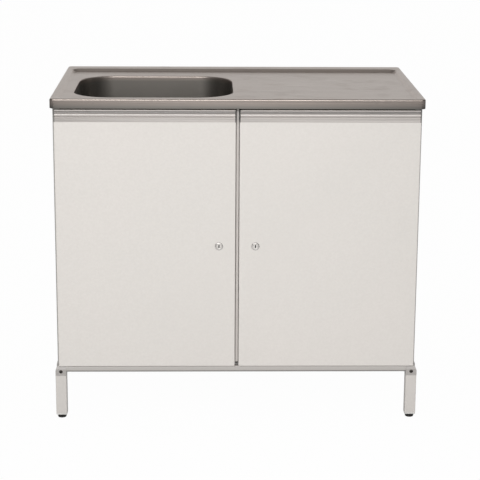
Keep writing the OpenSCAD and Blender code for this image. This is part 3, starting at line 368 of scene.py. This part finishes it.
def plastic_material(name, color, rough, grain=1.0, dust=0.5):
    """Moulded plastic or rubber with a spark-eroded grain and a little dust."""
    mat, net, shader, place, _ = start_material(name, Metallic=0.0, Specular_IOR_Level=0.4)
    coat = use(net, COAT, {"Vector": place, "Grain": 0.7 * grain})
    tone = use(net, CLOUDS, {"Vector": place, "Size": 0.05, "Smudge": 1.0})
    body = net.mix(net.span(tone["Clouds"], 0.3, 0.7), shade(color, 0.9), shade(color, 1.08))
    body = net.mix(net.math("MULTIPLY", tone["Smudges"], 0.3 * dust), body, DUST)
    net.put(shader.inputs["Base Color"], body)
    net.put(shader.inputs["Roughness"], net.span(coat["Height"], 0.5, 1.2, rough - 0.06, rough + 0.08))
    bump(net, shader, coat["Height"], 0.00005 * grain, 0.4)
    return mat


EARLY_WOOD, LATE_WOOD = rgb(0.60, 0.43, 0.26), rgb(0.38, 0.22, 0.11)
WOOD_FIBRE = rgb(0.30, 0.18, 0.09)


def wood_material(name):
    """Planed softwood: bent year rings, fine fibres and darker late wood."""
    mat, net, shader, place, _ = start_material(name, Metallic=0.0)
    bend = net.noise(net.scaled(place, (1.2, 9.0, 9.0)), 1.0, 2.0)
    ring = net.math("MULTIPLY_ADD", bend, 9.0, net.math("MULTIPLY", net.axes(place)[1], 260.0))
    ring = net.math("MULTIPLY_ADD", net.math("SINE", ring), 0.5, 0.5)
    fibre = net.noise(net.scaled(place, (30.0, 1500.0, 1500.0)), 1.0, 2.0)
    body = net.mix(net.math("POWER", ring, 2.2), EARLY_WOOD, LATE_WOOD)
    body = net.mix(net.span(fibre, 0.35, 0.75, 0.0, 0.35), body, WOOD_FIBRE)
    net.put(shader.inputs["Base Color"], body)
    net.put(shader.inputs["Roughness"], net.span(fibre, 0.3, 0.7, 0.55, 0.72))
    bump(net, shader, net.math("MULTIPLY_ADD", ring, 0.3, fibre), 0.00012, 0.5)
    return mat


FINISH = {
    # Darker below 0.889 m as painted shade inside the bowl
    "stainless": steel_material("stainless_sheet", (0.472, 0.412, 0.376), 0.30, bowl_shade_below=0.889),
    # Carcass grey darker than the doors: painted shade for its strips seen deep in the gaps between and
    # beside the doors
    "cabinet_enamel": enamel_material("cabinet_enamel", (0.47, 0.455, 0.44), 0.42),
    "frame_enamel": enamel_material("frame_enamel", (0.69, 0.655, 0.63), 0.40),
    # Darker below 0.1402 m as painted shade along the rails' lower edge
    "rail_enamel": enamel_material("rail_enamel", (0.53, 0.503, 0.482), 0.42, shaded_below=0.1402),
    # Door edges turned nearly white on the edge mask: a painted highlight on their rounded edges by the
    # gaps
    "door_enamel": enamel_material(
        "door_enamel", (0.758, 0.722, 0.692), 0.36, wear_and_sheen=0.9, wear_and_sheen_color=(0.97, 0.94, 0.91)),
    # The grip profile's groove darkened with depth as painted shade
    "anodised_aluminium": steel_material(
        "anodised_profile", (0.71, 0.67, 0.645), 0.42, fineness=0.8, length=6.0, scratches=0.2, smudge=0.2,
        metallic=0.55, recess_shade=(-0.2896, -0.2872, 0.45)),
    "cast_alloy": enamel_material("coated_casting", (0.45, 0.425, 0.41), 0.40, grain=1.8, wear_and_sheen=0.7),
    "dark_steel": steel_material(
        "blackened_steel", (0.10, 0.09, 0.085), 0.42, fineness=2.0, length=0.3, scratches=0.3),
    "zinc_steel": steel_material(
        "zinc_plate", (0.56, 0.56, 0.57), 0.38, fineness=0.7, length=0.4, scratches=0.4),
    # Nickel darkened behind the lock face as painted shade in the keyways and at the rim's base
    "lock_chrome": steel_material(
        "nickel_plate", (0.86, 0.83, 0.80), 0.30, fineness=1.6, length=0.5, scratches=0.3, grain=0.5,
        metallic=0.8, recess_shade=(-0.2914, -0.2910, 0.05)),
    "black_plastic": plastic_material("black_plastic", (0.022, 0.021, 0.020), 0.48),
    "grey_plastic": plastic_material("grey_plastic", (0.12, 0.115, 0.11), 0.45),
    "collar_plastic": plastic_material("collar_plastic", (0.72, 0.71, 0.69), 0.45, dust=0.2),
    "white_plastic": plastic_material("white_plastic", (0.74, 0.74, 0.71), 0.38, dust=0.2),
    "black_rubber": plastic_material("black_rubber", (0.028, 0.027, 0.026), 0.72, grain=1.6),
    "batten_wood": wood_material("planed_batten"),
}
SLOT_OF = {entry["node"]: entry["material_slot"] for entry in frame["record"]["subparts"]}
for node, thing in frame["nodes"].items():
    thing.data.materials.clear()
    thing.data.materials.append(FINISH[SLOT_OF[node]])


# Meshes that stand for the part's nodes

def linked(name, mesh):
    thing = bpy.data.objects.new(name, mesh)
    bpy.context.scene.collection.objects.link(thing)
    return thing


def new_piece(name, mesh, slot, body, node):
    """Links a mesh as a piece that rides on a body and stands for a CAD node."""
    mesh.materials.clear()
    mesh.materials.append(FINISH[slot])
    thing = linked(name, mesh)
    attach(thing, body)
    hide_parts(node)
    return thing


def smooth(mesh, angle):
    mesh.shade_smooth()
    mesh.set_sharp_from_angle(angle=math.radians(angle))


def loft(name, rings, angle=50):
    """Quads between closed rings of equal length, given in millimetres."""
    n = len(rings[0])
    points = [Vector(p) * MM for ring in rings for p in ring]
    faces = [
        (k * n + i, k * n + (i + 1) % n, (k + 1) * n + (i + 1) % n, (k + 1) * n + i)
        for k in range(len(rings) - 1) for i in range(n)]
    mesh = bpy.data.meshes.new(name)
    mesh.from_pydata(points, [], faces)
    mesh.validate()
    smooth(mesh, angle)
    return mesh


def along_line(a, b, z, count):
    """Points at height z that part the straight line from a to b, without its ends."""
    return [(a[0] + (b[0] - a[0]) * i / count, a[1] + (b[1] - a[1]) * i / count, z)
            for i in range(1, count)]


def eased(t):
    """0 to 1 along half a cosine wave."""
    return (1 - math.cos(math.pi * t)) / 2


def rounded_ring(w, d, r, cy, z, corner=14, along_x=90, along_y=54):
    """Points round a rectangle, the same number on every ring so that rings match."""
    ring = []
    x, y = w / 2 - r, d / 2 - r
    stops = [(x, y, 0), (-x, y, 90), (-x, -y, 180), (x, -y, 270)]
    for k, (px, py, start) in enumerate(stops):
        for i in range(corner + 1):
            t = math.radians(start + 90 * i / corner)
            ring.append((px + r * math.cos(t), cy + py + r * math.sin(t), z))
        nx, ny, nstart = stops[(k + 1) % 4]
        a = ring[-1]
        t = math.radians(nstart)
        b = (nx + r * math.cos(t), cy + ny + r * math.sin(t), z)
        ring += along_line(a, b, z, along_x if k % 2 == 0 else along_y)
    return ring


def mouth_reach(a, s):
    """Distance from the bowl's middle to its outline inset by s, in direction a."""
    c, d = abs(math.cos(a)), abs(math.sin(a))
    x, y, r = BOWL_L / 2 - s, BOWL_B / 2 - s, BOWL_R - s
    if c > 0 and x * d / c <= y - r:
        return x / c
    if d > 0 and y * c / d <= x - r:
        return y / d
    along = (x - r) * c + (y - r) * d
    return along + math.sqrt(along * along - (x - r) ** 2 - (y - r) ** 2 + r * r)


def bowl_ring(s, z, corner=36, sides=(26, 18)):
    """The bowl's outline inset by s, with points along its straight sides too."""
    x, y, r = BOWL_L / 2 - s, BOWL_B / 2 - s, BOWL_R - s
    stops = [(x - r, y - r), (r - x, y - r), (r - x, r - y), (x - r, r - y)]
    ring = []
    for k, (cx, cy) in enumerate(stops):
        for i in range(corner + 1):
            t = math.radians(90 * k + 90 * i / corner)
            ring.append((BOWL_X + cx + r * math.cos(t), BOWL_Y + cy + r * math.sin(t), z))
        t = math.radians(90 * k + 90)
        nx, ny = stops[(k + 1) % 4]
        a, b = ring[-1], (BOWL_X + nx + r * math.cos(t), BOWL_Y + ny + r * math.sin(t))
        ring += along_line(a, b, z, sides[k % 2])
    return ring


def worktop_rings():
    """From the hem over the skirt, rolled edge, rim and slope to the bowl's mouth."""
    def outline(inset, z):
        return rounded_ring(BENCH_W - 2 * inset, BENCH_D - 2 * inset, max(CORNER_R - inset, 1), 0, z)

    def arc(r, z, angles, from_below):
        turns = [math.radians(a) for a in angles]
        if from_below:
            return [outline(r - r * math.sin(t), z + r - r * math.cos(t)) for t in turns]
        return [outline(r - r * math.cos(t), z - r + r * math.sin(t)) for t in turns]

    low = BENCH_H - SKIRT_H
    hem_r, hem_edge, slope_steps = 1.2, 1.6, 14
    rings = [outline(HEM_W, low + 0.2), outline(hem_edge, low)]
    rings += arc(hem_r, low, (0, 30, 60, 90), True)
    rings += arc(EDGE_R, BENCH_H, range(0, 91, 10), False)
    rings.append(outline(EDGE_R + 1, BENCH_H))
    for i in range(slope_steps + 1):
        inset = FIELD_SLOPE * i / slope_steps
        z = BENCH_H - (BENCH_H - FIELD_Z) * eased(i / slope_steps)
        rings.append(rounded_ring(FIELD_W - 2 * inset, FIELD_D - 2 * inset, FIELD_R - inset, FIELD_Y, z))
    inner = rings[-1]
    angles = [math.atan2(p[1] - BOWL_Y, p[0] - BOWL_X) for p in inner]
    mouth = []
    for a in angles:
        reach = mouth_reach(a, -LIP_FLANGE)
        mouth.append((BOWL_X + reach * math.cos(a), BOWL_Y + reach * math.sin(a), FIELD_Z))
    for t in (0.02, 0.3, 0.7):
        rings.append([tuple(a + (b - a) * t for a, b in zip(p, q)) for p, q in zip(inner, mouth)])
    rings.append(mouth)
    return rings


def bowl_rings():
    """From the welded flange over the lip, wall and bottom corner to the waste hole."""
    lip_steps, corner_steps, fall_steps, dish_steps = 12, 14, 12, 8
    lean = math.atan(WALL_LEAN / (FIELD_Z - BOWL_FLOOR - LIP_R - BOTTOM_R))
    line = [(-LIP_FLANGE, FIELD_Z), (-0.8, FIELD_Z)]
    for k in range(lip_steps + 1):
        a = math.pi / 2 + (lean - math.pi / 2) * k / lip_steps
        line.append((LIP_R * math.cos(a), FIELD_Z - LIP_R + LIP_R * math.sin(a)))
    cx, cz = LIP_R + WALL_LEAN + BOTTOM_R * math.cos(lean), BOWL_FLOOR + BOTTOM_R
    first = (cx + BOTTOM_R * math.cos(math.pi + lean), cz + BOTTOM_R * math.sin(math.pi + lean))
    last = line[-1]
    line += [(last[0] + (first[0] - last[0]) * t, last[1] + (first[1] - last[1]) * t)
             for t in (0.03, 0.35, 0.7, 0.97)]
    for k in range(corner_steps + 1):
        a = math.pi + lean + (math.pi / 2 - lean) * k / corner_steps
        line.append((cx + BOTTOM_R * math.cos(a), cz + BOTTOM_R * math.sin(a)))
    rings = [bowl_ring(s, z) for s, z in line]
    edge = rings[-1]
    angles = [math.atan2(p[1] - BOWL_Y, p[0] - BOWL_X) for p in edge]

    def round_ring(r, z):
        return [(BOWL_X + r * math.cos(a), BOWL_Y + r * math.sin(a), z) for a in angles]

    dish_slope = 6
    rim, low = DISH_R + dish_slope, BOWL_FLOOR - BOTTOM_FALL
    target = round_ring(rim, low)
    for k in range(1, fall_steps + 1):
        t = k / fall_steps
        z = BOWL_FLOOR - BOTTOM_FALL * (3 * t * t - 2 * t ** 3)
        rings.append([(p[0] + (q[0] - p[0]) * t, p[1] + (q[1] - p[1]) * t, z)
                      for p, q in zip(edge, target)])
    for k in range(1, dish_steps + 1):
        t = k / dish_steps
        rings.append(round_ring(rim - dish_slope * t, low - (low - DISH_Z) * eased(t)))
    return rings + [round_ring(r, DISH_Z) for r in (DISH_R - 2, HOLE_R + 1, HOLE_R)]


def plain_mesh(thing):
    """What an object's modifiers make of it."""
    evaluated = thing.evaluated_get(bpy.context.evaluated_depsgraph_get())
    return bpy.data.meshes.new_from_object(evaluated)


def worked(mesh, angle, *steps):
    """The mesh after a list of modifiers, each (type, settings), with smooth faces split by angle."""
    thing = linked(mesh.name, mesh)
    for kind, settings in steps:
        step = thing.modifiers.new(kind.lower(), kind)
        for key, value in settings.items():
            setattr(step, key, value)
    result = plain_mesh(thing)
    bpy.data.objects.remove(thing)
    smooth(result, angle)
    return result


def sheet(thickness):
    return ("SOLIDIFY", {"thickness": thickness * MM, "offset": -1, "use_even_offset": True})


def lathe(name, profile, segments, angle):
    """A profile of (radius, height) turned about Z; an end on the axis is closed with one point."""
    turns = [2 * math.pi * i / segments for i in range(segments)]
    rings = [[(r * math.cos(t), r * math.sin(t), z) for t in turns] for r, z in profile if r > 0]
    mesh = loft(name, rings, angle)
    work = bmesh.new()
    work.from_mesh(mesh)
    work.verts.ensure_lookup_table()
    first, last = list(work.verts[:segments]), list(work.verts[-segments:])
    for ring, (r, z) in ((first, profile[0]), (last, profile[-1])):
        if r == 0:
            tip = work.verts.new((0, 0, z * MM))
            for i in range(segments):
                work.faces.new((ring[i], ring[(i + 1) % segments], tip))
    bmesh.ops.remove_doubles(work, verts=work.verts, dist=1e-7)
    bmesh.ops.recalc_face_normals(work, faces=work.faces)
    work.to_mesh(mesh)
    work.free()
    smooth(mesh, angle)
    return mesh


GEOMETRY, OBJECT, MATERIAL, INT = (
    "NodeSocketGeometry", "NodeSocketObject", "NodeSocketMaterial", "NodeSocketInt")


def geometry_group(name, inputs):
    """A tree with named inputs whose last nodes realize the instances and set their material."""
    tree = bpy.data.node_groups.new(name, "GeometryNodeTree")
    for label, kind, value in inputs + [("Material", MATERIAL, None)]:
        socket = tree.interface.new_socket(label, in_out="INPUT", socket_type=kind)
        if value is not None:
            socket.default_value = value
    tree.interface.new_socket("Geometry", in_out="OUTPUT", socket_type=GEOMETRY)
    net = Net(tree)
    given = net.add("NodeGroupInput").outputs

    def finish(geometry):
        real = net.add("GeometryNodeRealizeInstances", {0: geometry}).outputs[0]
        real = net.add("GeometryNodeSetMaterial", {
            "Geometry": real, "Material": given["Material"]}).outputs[0]
        net.put(net.add("NodeGroupOutput").inputs[0], real)
        return tree

    return net, given, finish


def places_tree():
    """One piece on every point, each turned about its own axis by a seeded share of Turn."""
    net, given, finish = geometry_group("pieces_on_places", [
        ("Places", GEOMETRY, None), ("Piece", OBJECT, None), ("Turn", FLOAT, 6.283), ("Seed", INT, 3)])
    piece = net.add("GeometryNodeObjectInfo", {"Object": given["Piece"]}).outputs["Geometry"]
    turn = net.add("FunctionNodeRandomValue", {2: 0.0, 3: given["Turn"], "Seed": given["Seed"]},
                   data_type="FLOAT").outputs[1]
    return finish(net.add("GeometryNodeInstanceOnPoints", {
        "Points": given["Places"], "Instance": piece, "Rotation": net.vector(z=turn)}).outputs[0])


def lifted(net, geometry, height):
    return net.add("GeometryNodeTransform", {
        "Geometry": geometry, "Translation": net.vector(z=height)}).outputs[0]


def ribs_tree():
    """Short tapered ribs that stand round a circle."""
    net, given, finish = geometry_group("ring_of_ribs", [
        ("Places", GEOMETRY, None), ("Count", INT, 24), ("Radius", FLOAT, 0.013),
        ("Rib width", FLOAT, 0.0012), ("Rib height", FLOAT, 0.004), ("Foot", FLOAT, 0.006)])
    ring = net.add("GeometryNodeMeshCircle", {
        "Vertices": given["Count"], "Radius": given["Radius"]}).outputs[0]
    half = net.math("MULTIPLY", given["Rib width"], 0.5)
    rib = net.add("GeometryNodeMeshCone", {
        "Vertices": 6, "Side Segments": 2, "Radius Top": net.math("MULTIPLY", half, 0.7),
        "Radius Bottom": half, "Depth": given["Rib height"]}).outputs["Mesh"]
    ring = lifted(net, ring, given["Foot"])
    return finish(net.add("GeometryNodeInstanceOnPoints", {"Points": ring, "Instance": rib}).outputs[0])


def thread_tree():
    """A sharp thread that winds up a stud along a helix."""
    net, given, finish = geometry_group("stud_thread", [
        ("Places", GEOMETRY, None), ("Radius", FLOAT, 0.005), ("Depth", FLOAT, 0.0007),
        ("Pitch", FLOAT, 0.0015), ("Length", FLOAT, 0.04), ("Foot", FLOAT, 0.011)])
    core = net.math("SUBTRACT", given["Radius"], given["Depth"])
    helix = net.add("GeometryNodeCurveSpiral", {
        "Resolution": 20, "Rotations": net.math("DIVIDE", given["Length"], given["Pitch"]),
        "Start Radius": core, "End Radius": core, "Height": given["Length"]}).outputs[0]
    ridge = net.add("GeometryNodeCurvePrimitiveCircle", {"Resolution": 3, "Radius": given["Depth"]},
                    mode="RADIUS").outputs[0]
    body = net.add("GeometryNodeCurveToMesh", {
        "Curve": helix, "Profile Curve": ridge, "Fill Caps": True}).outputs[0]
    return finish(lifted(net, body, given["Foot"]))


def grown(tree, places, slot, **values):
    """The plain mesh that a tree makes from points in millimetres and its named values."""
    base = bpy.data.meshes.new(tree.name + "_places")
    base.from_pydata([Vector(p) * MM for p in places], [], [])
    thing = linked(tree.name, base)
    step = thing.modifiers.new("nodes", "NODES")
    step.node_group = tree
    values["Material"] = FINISH[slot]
    for item in tree.interface.items_tree:
        if item.in_out == "INPUT" and item.name in values:
            step[item.identifier] = values[item.name]
    result = plain_mesh(thing)
    thing.modifiers.remove(step)
    bpy.data.objects.remove(thing)
    return result


def joined(name, *meshes):
    work = bmesh.new()
    for mesh in meshes:
        work.from_mesh(mesh)
    result = bpy.data.meshes.new(name)
    work.to_mesh(result)
    work.free()
    return result


def merged(node, name, flat_angle=None):
    """A copy of a CAD node's mesh with its double points merged and, if asked, its flat faces joined."""
    mesh = bpy.data.meshes.new(name)
    work = bmesh.new()
    work.from_mesh(frame["nodes"][node].data)
    bmesh.ops.remove_doubles(work, verts=work.verts, dist=2e-6)
    if flat_angle:
        bmesh.ops.dissolve_limit(
            work, angle_limit=math.radians(flat_angle), verts=work.verts, edges=work.edges)
    work.to_mesh(mesh)
    work.free()
    return mesh


def stand_in(node, ending, mesh):
    """The mesh as the piece that stands for one CAD node, on the node's own body."""
    return new_piece(node + ending, mesh, SLOT_OF[node], frame["nodes"][node]["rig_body"], node)


def dressed(node, width, segments, angle=35):
    """A copy of a CAD node with its edges broken, in the node's place."""
    mesh = merged(node, node + "_finished", 0.5)
    smooth(mesh, angle)
    thing = stand_in(node, "_finished", mesh)
    edges = thing.modifiers.new("edges", "BEVEL")
    edges.width = width * MM
    edges.segments = segments
    edges.limit_method = "ANGLE"
    edges.angle_limit = math.radians(angle)
    edges.harden_normals = True
    edges.use_clamp_overlap = True


# Worktop and bowl
for node, name, rings, angle in (
        ("worktop", "worktop_sheet", worktop_rings(), 30), ("sink_bowl", "bowl_drawn", bowl_rings(), 40)):
    new_piece(name, worked(loft(name, rings), angle, sheet(SHEET)), "stainless", "cabinet", node)


def foot_profile():
    """Pad with a rounded lower edge and a ribbed collar, and the core of its stud."""
    round_r, core_r, top = 1, STUD_R - 0.9, FOOT_H + STUD_L
    pad = [(0, 0), (FOOT_R - 3, 0), (FOOT_R - round_r, 0)]
    for t in (math.radians(a) for a in (-75, -60, -45, -30, -15)):
        pad.append((FOOT_R - round_r + round_r * math.cos(t), round_r + round_r * math.sin(t)))
    pad += [(FOOT_TOP_R - inward, FOOT_H - down)
            for inward, down in ((0.9, 4.5), (0.4, 3.8), (0.3, 3.2), (0, 0.8), (0.3, 0))]
    return pad + [(core_r, FOOT_H), (core_r, top - 0.8), (core_r - 0.8, top), (0, top)]


# Levelling feet, each with its ribs and thread
RIBS, THREAD, PLACES = ribs_tree(), thread_tree(), places_tree()
foot_grip = grown(RIBS, [], "black_plastic", **{
    "Count": 28, "Radius": (FOOT_TOP_R - 0.6) * MM, "Rib width": 1.1 * MM, "Rib height": 4 * MM,
    "Foot": (FOOT_H - 4.6) * MM})
foot_thread = grown(THREAD, [], "black_plastic", **{
    "Radius": (STUD_R - 0.02) * MM, "Length": (STUD_L - 3) * MM, "Foot": (FOOT_H + 1.5) * MM})
for side, sx in SIDES:
    for end, sy in ENDS:
        node = "levelling_foot_%s_%s" % (end, side)
        foot = joined(node + "_turned", lathe(node, foot_profile(), 60, 40), foot_grip, foot_thread)
        smooth(foot, 40)
        foot.transform(Matrix.Translation(Vector((sx * LEG_X, sy * LEG_Y, 0)) * MM))
        stand_in(node, "_turned", foot)


def lock_body_profile():
    """Domed face with a turned rim, on a body with a fine thread."""
    length, bore = LOCK_BODY_BACK - DOOR_FRONT, PLUG_R + 0.05
    pitch, thread_deep, thread_end = 1.0, 0.45, -2.6
    rim, dome_r = 0.15, 3.2
    line = [(bore, -length), (LOCK_R - 0.6, -length), (LOCK_R, 0.6 - length)]
    z = 1.2 - length
    while z < thread_end:
        line += [(LOCK_R - thread_deep, z), (LOCK_R, z + pitch / 2)]
        z += pitch
    line += [(LOCK_R, -1.4), (LOCK_R, 0), (LOCK_FACE_R - 0.1, 0), (LOCK_FACE_R, rim)]
    for t in (math.radians(9 * k) for k in range(1, 11)):
        line.append((LOCK_FACE_R - dome_r + dome_r * math.cos(t), rim + (LOCK_FACE_T - rim) * math.sin(t)))
    return line + [(PLUG_R + 0.9, LOCK_FACE_T), (PLUG_R + 0.5, LOCK_FACE_T - 0.25),
                   (bore, LOCK_FACE_T - 0.6), (bore, -length)]


# Lock bodies, turned to face the front
for side, sx in SIDES:
    node = "lock_body_" + side
    body = lathe(node + "_turned", lock_body_profile(), 72, 40)
    place = Matrix.Translation(Vector((sx * LOCK_X, DOOR_FRONT, LOCK_Z)) * MM)
    body.transform(place @ Matrix.Rotation(math.radians(90), 4, "X"))
    stand_in(node, "_turned", body)


def box_mesh(name, low, high):
    mesh = bpy.data.meshes.new(name)
    work = bmesh.new()
    bmesh.ops.create_cube(work, size=1)
    for v in work.verts:
        v.co = Vector([lo + (hi - lo) * (c + 0.5) for lo, hi, c in zip(low, high, v.co)]) * MM
    work.to_mesh(mesh)
    work.free()
    return mesh


def cut(mesh, angle, *tools):
    """The mesh less each tool mesh in turn."""
    for tool in tools:
        knife = linked("knife", tool)
        mesh = worked(mesh, angle, ("BOOLEAN", {
            "object": knife, "operation": "DIFFERENCE", "solver": "EXACT"}))
        bpy.data.objects.remove(knife)
    return mesh


def screw(name, length, head_up):
    """A pan-head screw whose head stands on z = 0, with a cross recess and a pointed shank."""
    r, head = SCREW_R, SCREW_HEAD_R
    long, wide, low, high = RECESS_L / 2, RECESS_W / 2, RECESS_FLOOR, 3
    mesh = lathe(name, [
        (0, -length), (r - 0.9, 1.6 - length), (r, 3.2 - length), (r, 0), (head, 0), (head, 1.1),
        (head - 0.5, 1.9), (head - 1.5, 2.35), (0, 2.4)], 16, 30)
    mesh = cut(mesh, 30, box_mesh("slot", (-long, -wide, low), (long, wide, high)),
               box_mesh("slot", (-wide, -long, low), (wide, long, high)))
    if not head_up:
        mesh.transform(Matrix.Rotation(math.pi, 4, "X"))
    return linked(name, mesh)


def screw_row(name, places, length, head_up=True):
    piece = screw(name, length, head_up)
    row = grown(PLACES, places, "zinc_steel", Piece=piece)
    bpy.data.objects.remove(piece)
    return row


# Screws under the worktop, on the lower flanges and on the hinge plates
under_top = screw_row("batten_screw", [
    (x, y, BATTEN_FACE) for x in BATTEN_X for y in BATTEN_Y], 12.5, head_up=False)
flange_row = screw_row("flange_screw", [
    (sx * FLANGE_X, y, FLANGE_FACE) for side, sx in SIDES for y in FLANGE_Y], 9.5)
plate_row = screw_row("plate_screw", [
    (sx * PLATE_X, y, PLATE_FACE) for side, sx in SIDES for y in PLATE_Y], 8.5)
for node, rows in (("worktop_screws", [under_top]), ("cabinet_screws", [flange_row, plate_row])):
    screws = joined(node + "_set", *rows)
    smooth(screws, 30)
    stand_in(node, "_set", screws)

# Plugs whose keyway opens towards the face; the frame's stored normals would shade the cut face wrongly
for side, sx in SIDES:
    node, x, face = "lock_plug_" + side, sx * LOCK_X, DOOR_FRONT - LOCK_FACE_T
    plug = merged(node, node + "_cut")
    for stored in [a for a in plug.attributes if a.name == "custom_normal"]:
        plug.attributes.remove(stored)
    keyway = box_mesh("keyway", (x - KEYWAY_W / 2, face - 1, LOCK_Z - KEYWAY_H / 2),
                      (x + KEYWAY_W / 2, face + KEYWAY_DEEP, LOCK_Z + KEYWAY_H / 2))
    stand_in(node, "_cut", cut(plug, 35, keyway))

# The other nodes, with their edges broken by these widths
EDGE_WIDTHS = {
    "door_skin": 0.5, "grip_profile": 0.25, "grip_caps": 0.3, "side_panel": 0.4,
    "corner_casting": 1.2, "leg_front": 0.4, "leg_back": 0.4, "base": 0.4, "worktop_battens": 0.8,
    "drainer_stiffeners": 0.3, "bottom_pan": 0.3, "centre_post": 0.3, "lock_cam": 0.25, "top_hinge": 0.3,
}
OWN_MESH = ("worktop", "sink_bowl", "worktop_screws", "cabinet_screws",
            "lock_body_left", "lock_body_right", "lock_plug_left", "lock_plug_right")
for node in frame["nodes"]:
    if node in OWN_MESH or node.startswith("levelling_foot"):
        continue
    wide = next((w for start, w in EDGE_WIDTHS.items() if node.startswith(start)), 0.2)
    dressed(node, wide, 3 if wide > 1 else 2)


# Floor, light and camera
FLOOR_REACH = 40.0
CAMERA_SHARE, METAL_SHARE = 0.978, 0.9
LAMP_PLACE, LAMP_AIM, LAMP_SIZE, LAMP_POWER = (-0.7, -4.4, 3.3), (0, 0, 0.45), (3.6, 2.2), 105
CAMERA_PLACE = (-0.0849, -4.3215, 1.574)
CAMERA_YAW, CAMERA_PITCH, CAMERA_ROLL = 1.303, 13.259, -0.351
PICTURE_PX, FOCAL_PX, SHIFT_PX, SENSOR = 480, 1536.9, -40, 36


def floor_material():
    """Pale paper: white to the camera, lit by the lamp, and darker in metal's reflections further aside."""
    mat = bpy.data.materials.new("studio_floor")
    mat.use_nodes = True
    net = Net(mat.node_tree)
    mat.node_tree.nodes.clear()
    ray = net.add("ShaderNodeLightPath").outputs
    place = net.axes(net.add("ShaderNodeTexCoord").outputs["Object"])
    aside, back = net.math("ABSOLUTE", place[0]), net.math("ABSOLUTE", place[1])
    near, far = net.span(aside, 0.35, 1.15, 1.05, 0.04), net.span(aside, 1.4, 2.4, 0.0, 0.34)
    in_metal = net.math("MULTIPLY", net.math("MAXIMUM", near, far), net.span(back, 0.5, 2.4, 0.45, 1.0))
    glossy = net.math("MAXIMUM", ray["Is Glossy Ray"], ray["Is Transmission Ray"])
    lit = net.add("ShaderNodeBsdfDiffuse", {"Color": rgb(0.66, 0.66, 0.65)}).outputs[0]
    glow = net.add("ShaderNodeEmission", {
        "Color": rgb(1, 1, 1), "Strength": net.between(glossy, 1.0, in_metal)}).outputs[0]
    seen = net.math("MULTIPLY", ray["Is Camera Ray"], CAMERA_SHARE)
    share = net.math("MAXIMUM", seen, net.math("MULTIPLY", glossy, METAL_SHARE))
    both = net.add("ShaderNodeMixShader", {0: share, 1: lit, 2: glow}).outputs[0]
    net.add("ShaderNodeOutputMaterial", {"Surface": both})
    return mat


def lay_floor(reach):
    mesh = bpy.data.meshes.new("floor")
    corners = [(-reach, -reach, 0), (reach, -reach, 0), (reach, reach, 0), (-reach, reach, 0)]
    mesh.from_pydata(corners, [], [(0, 1, 2, 3)])
    mesh.materials.append(floor_material())
    linked("floor", mesh)


def light_world():
    """White to the camera, an even sky on the object, and a graded one in the metal's reflections."""
    world = bpy.data.worlds.new("studio")
    bpy.context.scene.world = world
    world.use_nodes = True
    net = Net(world.node_tree)
    world.node_tree.nodes.clear()
    ray = net.add("ShaderNodeLightPath").outputs
    way = net.axes(net.add("ShaderNodeTexCoord").outputs["Generated"])
    soft_sky = net.span(way[2], 0.0, 0.9, 0.86, 0.6)
    behind = net.span(way[2], 0.25, 0.6, 0.80, 0.34)
    before = net.span(way[2], 0.35, 0.8, 0.60, 0.34)
    metal_sky = net.between(net.span(way[1], -0.2, 0.2), before, behind)
    to_sides = net.span(net.math("ABSOLUTE", way[0]), 0.35, 0.8, 1.0, 0.22)
    metal_sky = net.math("MULTIPLY", metal_sky, to_sides)
    level = net.between(ray["Is Glossy Ray"], soft_sky, metal_sky)
    soft = net.add("ShaderNodeBackground", {"Color": rgb(1.0, 0.99, 0.975), "Strength": level}).outputs[0]
    white = net.add("ShaderNodeBackground", {"Color": rgb(1, 1, 1), "Strength": 1.0}).outputs[0]
    both = net.add("ShaderNodeMixShader", {0: ray["Is Camera Ray"], 1: soft, 2: white}).outputs[0]
    net.add("ShaderNodeOutputWorld", {"Surface": both})


def hang_lamp(name, place, aim, size, power):
    data = bpy.data.lights.new(name, "AREA")
    data.shape = "RECTANGLE"
    data.size, data.size_y = size
    data.energy = power
    lamp = linked(name, data)
    lamp.location = place
    lamp.rotation_euler = (Vector(aim) - Vector(place)).to_track_quat("-Z", "Y").to_euler()


def set_camera(place, yaw, pitch, roll):
    """A camera by its place and three angles in degrees, with lens and shift from their pixels."""
    yaw, pitch, roll = (math.radians(a) for a in (yaw, pitch, roll))
    ahead = Vector((math.sin(yaw) * math.cos(pitch), math.cos(yaw) * math.cos(pitch), -math.sin(pitch)))
    right = Vector((math.cos(yaw), -math.sin(yaw), 0))
    down = ahead.cross(right)
    turned_right = math.cos(roll) * right + math.sin(roll) * down
    turned_down = -math.sin(roll) * right + math.cos(roll) * down
    data = bpy.data.cameras.new("camera")
    data.sensor_width = SENSOR
    data.lens = FOCAL_PX / PICTURE_PX * SENSOR
    data.shift_y = SHIFT_PX / PICTURE_PX
    camera = linked("camera", data)
    turn = Matrix((turned_right, -turned_down, -ahead)).transposed()
    camera.matrix_world = Matrix.Translation(place) @ turn.to_4x4()
    bpy.context.scene.camera = camera


lay_floor(FLOOR_REACH)
light_world()
hang_lamp("key", LAMP_PLACE, LAMP_AIM, LAMP_SIZE, LAMP_POWER)
set_camera(CAMERA_PLACE, CAMERA_YAW, CAMERA_PITCH, CAMERA_ROLL)
bpy.context.scene.view_settings.view_transform = "Standard"
